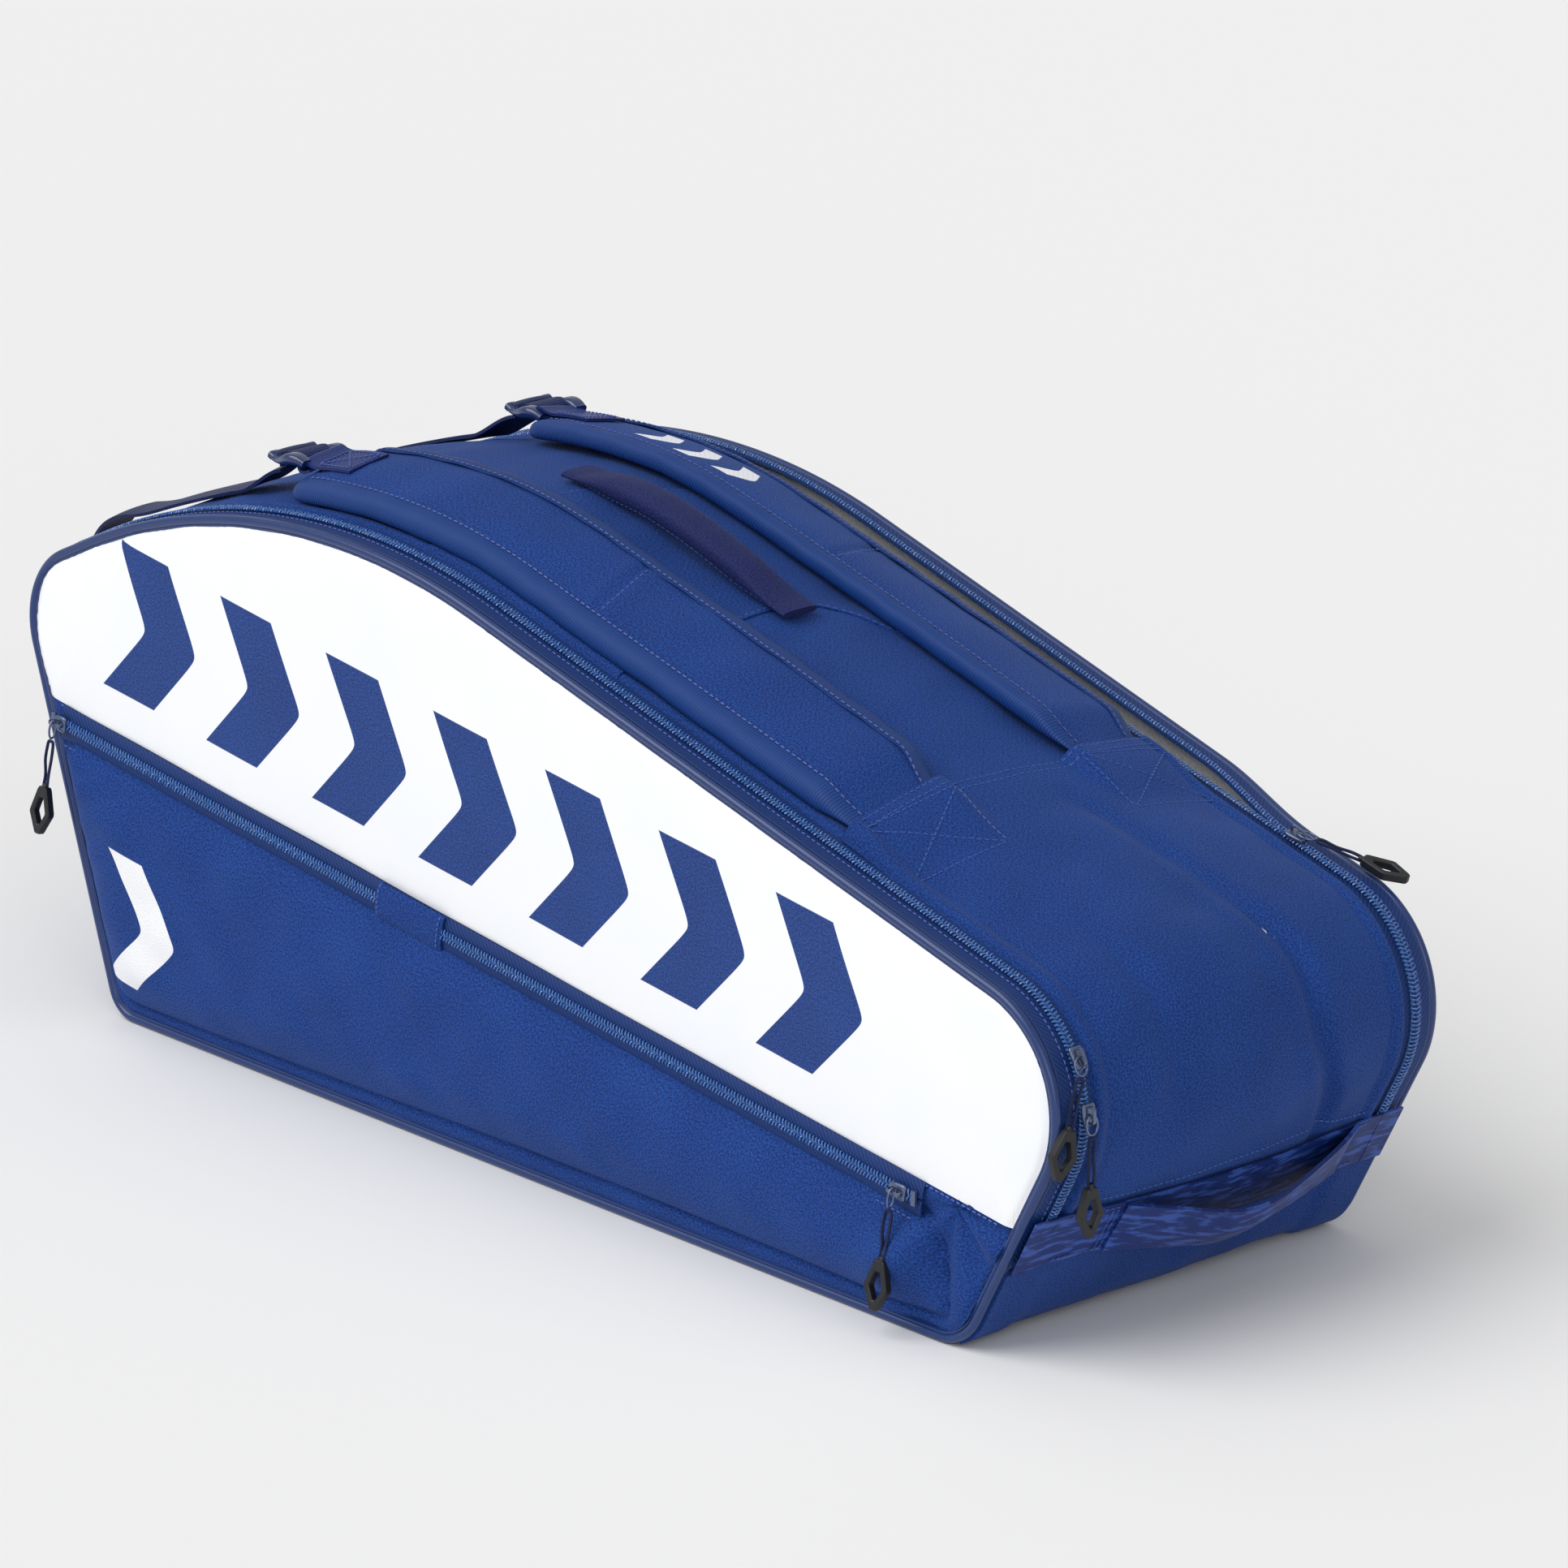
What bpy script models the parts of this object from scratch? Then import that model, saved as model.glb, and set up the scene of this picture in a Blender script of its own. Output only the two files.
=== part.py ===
"""Racket tournament bag: two racket compartments side by side, a pocket on each side panel.

+X runs along the bag towards its low end, -Y is the front side and +Z is up.
The bag stands on its base panel, whose underside is z = 0.
"""
import math

import bmesh
import bpy
from mathutils import Matrix, Vector

# ---------------------------------------------------------------- driving dimensions, metres
CLEARANCE = 0.0003
ARC_TURN = math.radians(12.0)
ARC_STEP = 0.030
LINE_STEP = 0.060

# side outline seen from the front, clockwise from the lower left: x, z, corner radius
SIDE_CORNERS = (
    (-0.308, 0.0, 0.020),
    (-0.390, 0.225, 0.045),
    (-0.190, 0.326, 0.420),
    (0.400, 0.167, 0.062),
    (0.317, 0.0, 0.030),
)
LOW_END_CORNER = 3

PANEL_FACE = 0.1325          # outer face of a side panel, from the middle plane
PANEL_THICKNESS = 0.004
LINING_THICKNESS = 0.0015
PANEL_INSET = 0.0058         # side panel's edge, inside the outline
PIPING_RADIUS = 0.0025
PIPING_Y = 0.1304
FOLD_HEIGHT = 0.050          # a side panel folds out here, level with the ends of its zip
REAR_AJAR = math.radians(4.0)

GUSSET_HALF = 0.108          # half width of the fabric between the two main zips
GUSSET_THICKNESS = 0.004
GUSSET_CROWN = 0.018         # how far the top bulges along the middle
GUSSET_RIBS = (0.0, 0.38, 0.72, 1.0)
CROWN_FULL_HEIGHT = 0.250
CROWN_SLACK = 0.5            # share of the crown left where the top sags towards the high end
CROWN_SLACK_X = -0.250
CROWN_TAUT_X = -0.090
ZIP_COIL_Y = 0.1153
ZIP_OUTER_Y = 0.1272
ZIP_TAPE_THICKNESS = 0.0016
SEAM_GAP = 0.0005
LAYER_GAP = 0.0012           # between crowned layers, whose flats twist a little

BASE_HALF_LENGTH = 0.280
BASE_THICKNESS = 0.004
BOARD_THICKNESS = 0.002
DIVIDER_THICKNESS = 0.003
DIVIDER_INSET = 0.0135
BOARD_MARGIN = 0.012
LINING_MIDDLE_GAP = 0.006    # lining's edge beside the divider

# lower edge of the white field: a straight line across a side panel
FIELD_LINE_HEIGHT = 0.116
FIELD_LINE_SLOPE = -0.130
POCKET_ZIP_DROP = 0.009      # centre of the pocket zip below that line
POCKET_ZIP_WIDTH = 0.014
POCKET_ZIP_THICKNESS = 0.0016
POCKET_LEFT = -0.352
POCKET_RIGHT = 0.285
POCKET_MIDDLE = -0.100       # where the left pocket's zip meets its garage
GARAGE_LENGTH = 0.049
POCKET_POUCH_RIGHT = 0.262
POCKET_BULGE = 0.010
POCKET_SKIN = 0.0022
POCKET_SHOULDER = 0.65       # share of the bulge that the pocket's sloping edge reaches
POCKET_EDGE = 0.016          # pocket's high-end seam, inside the panel's edge
POCKET_TOP = 0.150
POCKET_CORNER = 0.014
POCKET_TIGHT_CORNER = 0.0062
POCKET_RIGHT_SLANT = 0.012
GARAGE_THICKNESS = 0.0022
POCKET_BASE_GAP = 0.004      # pocket's lower seam above the fold

STRAP_CENTRE_Y = 0.073
STRAP_HALF = 0.032
STRAP_START_X = 0.190        # sewn end, under the yoke at the low end
STRAP_END_X = {"front": -0.210, "rear": -0.192}
STRAP_THICKNESS = 0.010
STRAP_EDGE = 0.005
STRAP_REST_GAP = 0.0015
TAB_HALF = 0.0135
TAB_THICKNESS = 0.002
TAB_LENGTH = 0.034
LOCK_LENGTH = 0.027
LOCK_HALF = 0.0175
LOCK_THICKNESS = 0.0045
LOCK_BAR = 0.004
LOCK_MIDDLE_BAR = 0.0105     # near edge of the bar between the two slots
LOCK_LIP = 0.020             # near edge of the lip that lifts the lock
LOCK_LIP_HEIGHT = 0.0030
WEBBING_HALF = 0.0125
WEBBING_THICKNESS = 0.0020
WEBBING_ANCHOR_HEIGHT = 0.170
WEBBING_SLACK = 0.0015       # how far the webbing stands off the bag at its middle
WEBBING_END_LIFT = 0.011     # and at the ladder lock

HANDLE_LOW_X = 0.044
HANDLE_HIGH_X = -0.098
HANDLE_RADIUS = 0.0075
HANDLE_RISE = 0.013

END_HANDLE_HEIGHT = 0.062
END_WEBBING_HALF = 0.016
END_WEBBING_THICKNESS = 0.0025
END_WEBBING_SEWN = 0.0015    # webbing sewn flat across the end, under the grab loop
END_HANDLE_FRONT_Y = -0.070
END_HANDLE_REAR_Y = 0.094
END_HANDLE_BOW = 0.014
END_HANDLE_LIFT = 0.0035

SLIDER_LENGTH = 0.011
SLIDER_HALF = 0.0042
SLIDER_THICKNESS = 0.0026
SLIDER_LIFT = 0.0022         # slider's underside above the zip tape
BAIL_HALF = 0.0007
BAIL_LENGTH = 0.0084
BAIL_LEG = 0.0010
BAIL_SHOULDER = 0.0008
RING_WIRE = 0.0006
RING_HALF_WIDTH = 0.0036
RING_LENGTH = 0.0095
RING_LIFT = 0.0012           # ring's wire above the slider's top face
PULL_CORD_RADIUS = 0.0008
PULL_TAB_WIDTH = 0.013
PULL_TAB_LENGTH = 0.024
PULL_TAB_THICKNESS = 0.0030
PULL_CORD_LENGTH = 0.026
PULL_CORD_HALF_WIDTH = 0.0025
PULL_TAB_RIM = 0.62          # size of the tab's hole, as a share of the tab
PULL_TAB_HEAD_HALF = 0.0035
PULL_TAB_TIP_HALF = 0.002
# place of each front slider on the low end's arc, and how its ring and pull are turned
UPPER_SLIDER = (math.radians(29.0), math.radians(-26.0), -0.28)
LOWER_SLIDER = (math.radians(5.0), 0.0, 0.0)
REAR_RING_TURN = math.radians(20.0)
REAR_PULL_LEAN = 0.36
REAR_SLIDER_X = 0.290
HIDDEN_SLIDER_HEIGHT = 0.120
POCKET_LEFT_SLIDER_X = -0.347
POCKET_RIGHT_SLIDER_X = 0.275
POCKET_RING_HALF_WIDTH = 0.0021
POCKET_RING_HOOK = 0.0020    # ring's near end above the middle of the bail's bar
POCKET_PULL_LEAN = math.radians(9.0)
BAIL_BAR_HEIGHT = 0.0028     # middle of the bail's bar above the slider's top face
BAIL_BAR_HALF = 0.0005

# ---------------------------------------------------------------- materials
PALETTE = {
    "blue_fabric": ((0.012, 0.060, 0.290), 0.75, 0.0),
    "white_panel": ((0.86, 0.88, 0.91), 0.45, 0.0),
    "grey_lining": ((0.42, 0.43, 0.45), 0.60, 0.0),
    "stiffener": ((0.50, 0.50, 0.50), 0.60, 0.0),
    "piping": ((0.010, 0.050, 0.230), 0.30, 0.0),
    "zip": ((0.015, 0.070, 0.270), 0.40, 0.0),
    "webbing": ((0.008, 0.014, 0.110), 0.50, 0.0),
    "handle_fabric": ((0.012, 0.018, 0.140), 0.65, 0.0),
    "buckle_plastic": ((0.030, 0.060, 0.170), 0.30, 0.0),
    "painted_metal": ((0.040, 0.070, 0.160), 0.35, 0.6),
    "pull_plastic": ((0.030, 0.032, 0.038), 0.45, 0.0),
}


def make_material(name):
    colour, roughness, metallic = PALETTE[name]
    material = bpy.data.materials.new(name)
    material.use_nodes = True
    shader = material.node_tree.nodes["Principled BSDF"]
    shader.inputs["Base Color"].default_value = (*colour, 1.0)
    shader.inputs["Roughness"].default_value = roughness
    shader.inputs["Metallic"].default_value = metallic
    material.diffuse_color = (*colour, 1.0)
    return material


# ---------------------------------------------------------------- the side outline
def outline_pieces(corners, inset=0.0):
    """Lines and arcs of a closed convex outline, clockwise, starting before its first corner.

    A line is (length, start, direction); an arc is (length, centre, radius, first normal).
    """
    count = len(corners)
    points = [Vector(corner[:2]) for corner in corners]
    directions = [(points[(k + 1) % count] - points[k]).normalized() for k in range(count)]
    normals = [Vector((-direction.y, direction.x)) for direction in directions]
    arcs = []
    for k, corner in enumerate(corners):
        normal_in = normals[k - 1]
        normal_out = normals[k]
        shift = (normal_in + normal_out) / (1.0 + normal_in.dot(normal_out))
        tip = points[k] - inset * shift
        radius = max(corner[2] - inset, 0.0005)
        turn = math.acos(max(-1.0, min(1.0, normal_in.dot(normal_out))))
        reach = radius * math.tan(turn / 2.0)
        start = tip - directions[k - 1] * reach
        end = tip + directions[k] * reach
        arcs.append((start, end, start - normal_in * radius, radius, turn, normal_in))
    pieces = []
    for k in range(count):
        start, end, centre, radius, turn, normal_in = arcs[k]
        following_start = arcs[(k + 1) % count][0]
        pieces.append(("arc", radius * turn, centre, radius, normal_in))
        pieces.append(("line", (following_start - end).length, end, directions[k], normals[k]))
    return pieces


def turned(normal, angle):
    """A direction in the side plane, turned clockwise."""
    cosine = math.cos(angle)
    sine = math.sin(angle)
    return Vector((normal.x * cosine + normal.y * sine, normal.y * cosine - normal.x * sine))


def outline_length(pieces):
    return sum(piece[1] for piece in pieces)


def point_on(pieces, distance):
    """Point and outward normal at a distance along the outline; a negative one lies on the base."""
    if distance < 0.0:
        distance += outline_length(pieces)
    for piece in pieces:
        kind, length = piece[:2]
        if distance <= length or piece is pieces[-1]:
            if kind == "arc":
                centre, radius, first_normal = piece[2:]
                normal = turned(first_normal, distance / radius)
                return centre + normal * radius, normal
            start, direction, normal = piece[2:]
            return start + direction * distance, normal
        distance -= length


def outline_polygon(pieces, arc_step=math.radians(11.0)):
    """Corner points of the closed outline."""
    points = []
    for piece in pieces:
        if piece[0] == "line":
            continue
        centre, radius, first_normal = piece[2:]
        turn = piece[1] / radius
        steps = max(1, round(turn / arc_step))
        for k in range(steps + 1):
            points.append(centre + turned(first_normal, turn * k / steps) * radius)
    return points


def clipped(points, inside):
    """Part of a convex polygon where inside(point) is positive; inside is a linear function."""
    kept = []
    for k, point in enumerate(points):
        before = points[k - 1]
        value = inside(point)
        value_before = inside(before)
        if value * value_before < 0.0:
            share = value_before / (value_before - value)
            kept.append(before.lerp(point, share))
        if value >= 0.0:
            kept.append(point)
    return kept


SIDE = outline_pieces(SIDE_CORNERS)


def start_of_arc(corner):
    return sum(piece[1] for piece in SIDE[:2 * corner])


def distance_where(test, low, high):
    """Distance along the outline, between low and high, where test turns from false to true."""
    for _ in range(40):
        middle = (low + high) / 2.0
        if test(point_on(SIDE, middle)[0]):
            high = middle
        else:
            low = middle
    return high


HIGH_END_TOP = start_of_arc(2)
LOW_END_TOP = start_of_arc(LOW_END_CORNER)
LOW_END_BOTTOM = start_of_arc(4) + SIDE[8][1]
HIGH_END_FOLD = distance_where(lambda point: point.y > FOLD_HEIGHT, 0.02, HIGH_END_TOP)
LOW_END_FOLD = distance_where(lambda point: point.y < FOLD_HEIGHT, LOW_END_TOP, LOW_END_BOTTOM)


def distance_at_x(x):
    """Distance along the top of the outline at a given x."""
    return distance_where(lambda point: point.x > x, start_of_arc(1), start_of_arc(4))


def evenly(start, end, step):
    count = max(1, round((end - start) / step))
    return [start + (end - start) * k / count for k in range(count + 1)]


def outline_stations(pieces):
    """Distances along an outline: its ends, and even steps in each line and arc."""
    distances = []
    place = 0.0
    for piece in pieces:
        kind, length = piece[:2]
        step = LINE_STEP
        if kind == "arc":
            step = min(ARC_STEP, piece[3] * ARC_TURN)
        distances += evenly(place, place + length, step)[:-1]
        place += length
    return distances + [place]


# every strip over the outline shares these stations, so that its layers stay parallel
STATIONS = [-LINE_STEP, *outline_stations(SIDE)]


def stations(start, end):
    """The shared stations from start to end, closed by both of them."""
    margin = 0.0008
    between = [place for place in STATIONS if start + margin < place < end - margin]
    return [start, *between, end]


def crown(point, y):
    """How far the gusset stands above the side outline: a parabola, in flats between its ribs."""
    share = min(1.0, abs(y) / GUSSET_HALF)
    for low, high in zip(GUSSET_RIBS, GUSSET_RIBS[1:]):
        if share <= high:
            across = 1.0 - low ** 2 - (share - low) * (low + high)
            break
    taut = min(1.0, max(0.0, (point.x - CROWN_SLACK_X) / (CROWN_TAUT_X - CROWN_SLACK_X)))
    fullness = CROWN_SLACK + (1.0 - CROWN_SLACK) * taut
    return GUSSET_CROWN * fullness * min(1.0, max(0.0, point.y) / CROWN_FULL_HEIGHT) * across


def skin_point(distance, y, lift):
    """Point over the gusset's outer surface, lift metres out from it.

    The surface is flat between shared stations, so that every layer over it stays parallel.
    """
    following = next(k for k, place in enumerate(STATIONS) if place >= distance or place is STATIONS[-1])
    ends = []
    for place in (STATIONS[max(following - 1, 0)], STATIONS[following]):
        point, normal = point_on(SIDE, place)
        ends.append(point + normal * (crown(point, y) + lift))
    low = STATIONS[max(following - 1, 0)]
    span = STATIONS[following] - low
    share = (distance - low) / span if span > 0.0 else 0.0
    place = ends[0].lerp(ends[1], share)
    return Vector((place.x, y, place.y))


# ---------------------------------------------------------------- object makers
def place_object(name, data, material, pivot=None, parent=None):
    """Links a new object; its mesh is in world coordinates and its origin goes to pivot."""
    item = bpy.data.objects.new(name, data)
    bpy.context.scene.collection.objects.link(item)
    data.materials.append(material)
    if pivot is not None:
        data.transform(Matrix.Translation(-Vector(pivot)))
        item.location = pivot
    if parent is not None:
        item.parent = parent
        item.matrix_parent_inverse = Matrix.Translation(-Vector(parent.location))
    return item


def finished_mesh(name, shape, smooth=True):
    bmesh.ops.recalc_face_normals(shape, faces=shape.faces)
    if shape.calc_volume(signed=True) < 0.0:
        bmesh.ops.reverse_faces(shape, faces=shape.faces)
    mesh = bpy.data.meshes.new(name)
    shape.to_mesh(mesh)
    shape.free()
    if smooth:
        mesh.shade_smooth()
        mesh.set_sharp_from_angle(angle=math.radians(35.0))
    return mesh


def slab(name, points, y_low, y_high):
    """Flat plate: an outline in the side plane with a thickness across."""
    shape = bmesh.new()
    corners = [shape.verts.new((point.x, y_low, point.y)) for point in points]
    face = shape.faces.new(corners)
    grown = bmesh.ops.extrude_face_region(shape, geom=[face])
    moved = [item for item in grown["geom"] if isinstance(item, bmesh.types.BMVert)]
    bmesh.ops.translate(shape, verts=moved, vec=(0.0, y_high - y_low, 0.0))
    return finished_mesh(name, shape)


def sheet(name, rows, columns, outer, inner):
    """Closed plate between two surfaces; outer(i, j) and inner(i, j) give their grid points."""
    shape = bmesh.new()
    top = [[shape.verts.new(outer(i, j)) for j in range(columns)] for i in range(rows)]
    bottom = [[shape.verts.new(inner(i, j)) for j in range(columns)] for i in range(rows)]
    for i in range(rows - 1):
        for j in range(columns - 1):
            shape.faces.new((top[i][j], top[i + 1][j], top[i + 1][j + 1], top[i][j + 1]))
            shape.faces.new((bottom[i][j], bottom[i][j + 1], bottom[i + 1][j + 1], bottom[i + 1][j]))
    rim = [(i, 0) for i in range(rows)]
    rim += [(rows - 1, j) for j in range(1, columns)]
    rim += [(i, columns - 1) for i in range(rows - 2, -1, -1)]
    rim += [(0, j) for j in range(columns - 2, 0, -1)]
    for k, (i, j) in enumerate(rim):
        m, n = rim[(k + 1) % len(rim)]
        shape.faces.new((top[i][j], bottom[i][j], bottom[m][n], top[m][n]))
    return finished_mesh(name, shape)


def skin_strip(name, places, widths, inner_lift, outer_lift):
    """Strip that follows the gusset's surface; the lifts are functions of (place, y)."""
    def surface(lift):
        return lambda i, j: skin_point(places[i], widths[j], lift(places[i], widths[j]))
    return sheet(name, len(places), len(widths), surface(outer_lift), surface(inner_lift))


def level(value):
    return lambda place, y: value


def block(name, low, high):
    shape = bmesh.new()
    bmesh.ops.create_cube(shape, size=1.0)
    low = Vector(low)
    high = Vector(high)
    size = high - low
    bmesh.ops.scale(shape, vec=size, verts=shape.verts)
    bmesh.ops.translate(shape, vec=(low + high) / 2.0, verts=shape.verts)
    return finished_mesh(name, shape, smooth=False)


def tube(name, points, radius, closed=False, resolution=2):
    """Round bar along a list of points, with filled ends unless it is closed."""
    curve = bpy.data.curves.new(name, "CURVE")
    curve.dimensions = "3D"
    curve.bevel_depth = radius
    curve.bevel_resolution = resolution
    curve.use_fill_caps = not closed
    spline = curve.splines.new("POLY")
    spline.points.add(len(points) - 1)
    for k, point in enumerate(points):
        spline.points[k].co = (*point, 1.0)
    spline.use_cyclic_u = closed
    spline.use_smooth = True
    return curve


def prism(shape, outline, half_width):
    """Adds a plate whose outline is in the local XZ plane and whose width runs along Y."""
    near = [shape.verts.new((x, -half_width, z)) for x, z in outline]
    far = [shape.verts.new((x, half_width, z)) for x, z in outline]
    count = len(outline)
    shape.faces.new(near)
    shape.faces.new(list(reversed(far)))
    for k in range(count):
        following = (k + 1) % count
        shape.faces.new((near[following], near[k], far[k], far[following]))


# ---------------------------------------------------------------- shell: base, gussets, divider
def make_shell(materials):
    fabric = materials["blue_fabric"]
    half = PANEL_FACE - PANEL_THICKNESS - CLEARANCE
    base = block("base_panel", (-BASE_HALF_LENGTH, -half, 0.0), (BASE_HALF_LENGTH, half, BASE_THICKNESS))
    place_object("base_panel", base, fabric)
    board_low = BASE_THICKNESS + CLEARANCE
    corner = Vector((BASE_HALF_LENGTH - BOARD_MARGIN, half - BOARD_MARGIN, board_low + BOARD_THICKNESS))
    board = block("base_board", (-corner.x, -corner.y, board_low), corner)
    place_object("base_board", board, materials["stiffener"])

    shares = [-share for share in reversed(GUSSET_RIBS[1:])] + list(GUSSET_RIBS)
    across = [GUSSET_HALF * share for share in shares]
    base_end = outline_length(SIDE) - SIDE[-1][1]
    left_start = point_on(SIDE, 0.0)[0].x + BASE_HALF_LENGTH + SEAM_GAP
    right_end = base_end + point_on(SIDE, base_end)[0].x - BASE_HALF_LENGTH - SEAM_GAP
    gussets = {
        "left_end_gusset": (left_start, HIGH_END_TOP - SEAM_GAP),
        "top_gusset": (HIGH_END_TOP, LOW_END_TOP),
        "right_end_gusset": (LOW_END_TOP + SEAM_GAP, right_end),
    }
    for name, (start, end) in gussets.items():
        places = stations(start, end)
        places += [fold for fold in (HIGH_END_FOLD, HIGH_END_FOLD - SEAM_GAP, LOW_END_FOLD,
                                     LOW_END_FOLD + SEAM_GAP) if start < fold < end]
        places.sort()
        widening = [half / GUSSET_HALF if place < HIGH_END_FOLD or place > LOW_END_FOLD else 1.0
                    for place in places]

        def surface(lift):
            return lambda i, j: skin_point(places[i], across[j] * widening[i], lift)

        mesh = sheet(name, len(places), len(across), surface(0.0), surface(-GUSSET_THICKNESS))
        place_object(name, mesh, fabric)

    divider = outline_polygon(outline_pieces(SIDE_CORNERS, DIVIDER_INSET))
    place_object("divider_panel", slab("divider_panel", divider, -DIVIDER_THICKNESS / 2.0,
                                       DIVIDER_THICKNESS / 2.0), materials["grey_lining"])

    lining_top = -GUSSET_THICKNESS - LAYER_GAP
    ribs = [GUSSET_HALF * share for share in GUSSET_RIBS[1:-1]]
    lining_widths = [LINING_MIDDLE_GAP, *ribs, GUSSET_HALF - 2.0 * LINING_THICKNESS]
    places = stations(HIGH_END_FOLD, LOW_END_FOLD)
    for side, name in ((-1.0, "front_compartment_lining"), (1.0, "rear_compartment_lining")):
        widths = [side * width for width in lining_widths]
        mesh = skin_strip(name, places, widths, level(lining_top - LINING_THICKNESS), level(lining_top))
        place_object(name, mesh, materials["grey_lining"])

    zip_places = stations(HIGH_END_FOLD + 0.002, LOW_END_FOLD - 0.002)
    for side, name in ((-1.0, "front_zip_inner_tape"), (1.0, "rear_zip_inner_tape")):
        widths = [side * (GUSSET_HALF + SEAM_GAP), side * (ZIP_COIL_Y - CLEARANCE)]
        mesh = skin_strip(name, zip_places, widths, level(-ZIP_TAPE_THICKNESS), level(0.0))
        place_object(name, mesh, materials["zip"])


def field_line(point):
    """Positive above the lower edge of the white field."""
    return point.y - (FIELD_LINE_HEIGHT + FIELD_LINE_SLOPE * point.x)


def zip_line_point(x, drop=POCKET_ZIP_DROP):
    return Vector((x, FIELD_LINE_HEIGHT + FIELD_LINE_SLOPE * x - drop))


def high_end_x(height, inset):
    """x of the outline's straight high end at a height."""
    first = Vector(SIDE_CORNERS[0][:2])
    second = Vector(SIDE_CORNERS[1][:2])
    share = height / (second.y - first.y)
    return first.x + (second.x - first.x) * share + inset


# ---------------------------------------------------------------- side panels
def make_bands(materials):
    """Lower edge of each side panel, below its fold, sewn to the base."""
    panel = outline_polygon(outline_pieces(SIDE_CORNERS, PANEL_INSET))
    lowest = [point - Vector((0.0, PANEL_INSET)) if point.y < PANEL_INSET + 1e-6 else point
              for point in panel]
    band = clipped(lowest, lambda point: FOLD_HEIGHT - CLEARANCE - point.y)
    for side, name in ((-1.0, "front_panel_band"), (1.0, "rear_panel_band")):
        y_low, y_high = sorted((side * PANEL_FACE, side * (PANEL_FACE - PANEL_THICKNESS)))
        place_object(name, slab(name, band, y_low, y_high), materials["blue_fabric"])


def make_pouch(name, side, left, right):
    """Open-backed tray of the side pocket, puffed out from the panel."""
    drop = POCKET_ZIP_DROP + POCKET_ZIP_WIDTH / 2.0 + 0.001
    base = FOLD_HEIGHT + POCKET_BASE_GAP
    top_left = high_end_x(POCKET_TOP, left)
    corners = (
        (high_end_x(base, left), base, POCKET_CORNER),
        (top_left, zip_line_point(top_left, drop).y, POCKET_CORNER),
        (right, zip_line_point(right, drop).y, POCKET_TIGHT_CORNER),
        (right - POCKET_RIGHT_SLANT, base, POCKET_TIGHT_CORNER),
    )
    foot = PANEL_FACE + CLEARANCE
    shoulder = PANEL_FACE + POCKET_BULGE * POCKET_SHOULDER
    crest = PANEL_FACE + POCKET_BULGE
    # inset from the pocket's outline and distance from the middle plane: the crest, then round under it
    layers = ((0.0045, crest), (0.0057, crest - POCKET_SKIN), (0.0042, shoulder - 0.8 * POCKET_SKIN),
              (0.0023, foot), (0.0, foot), (0.0018, shoulder))
    shape = bmesh.new()
    loops = []
    for inset, y in layers:
        points = fixed_polygon(outline_pieces(corners, inset))
        loops.append([shape.verts.new((point.x, side * y, point.y)) for point in points])
    count = len(loops[0])
    for k in range(1, len(loops)):
        loop = loops[k]
        following = loops[(k + 1) % len(loops)]
        for j in range(count):
            m = (j + 1) % count
            shape.faces.new((loop[j], loop[m], following[m], following[j]))
    shape.faces.new(loops[0])
    shape.faces.new(loops[1])
    return finished_mesh(name, shape)


def fixed_polygon(pieces, steps=3):
    """Corner points with the same number of steps in every arc, for lofting."""
    points = []
    for piece in pieces:
        if piece[0] == "line":
            continue
        centre, radius, first_normal = piece[2:]
        turn = piece[1] / radius
        for k in range(steps + 1):
            points.append(centre + turned(first_normal, turn * k / steps) * radius)
    return points


def zip_strip(name, side, x_from, x_to, thickness):
    """Flat pocket zip on a side panel, along its sloping line."""
    half = Vector((-FIELD_LINE_SLOPE, 1.0)).normalized() * POCKET_ZIP_WIDTH / 2.0
    start = zip_line_point(x_from)
    end = zip_line_point(x_to)
    points = [start - half, start + half, end + half, end - half]
    y_low, y_high = sorted((side * (PANEL_FACE + CLEARANCE), side * (PANEL_FACE + CLEARANCE + thickness)))
    return slab(name, points, y_low, y_high)


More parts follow.
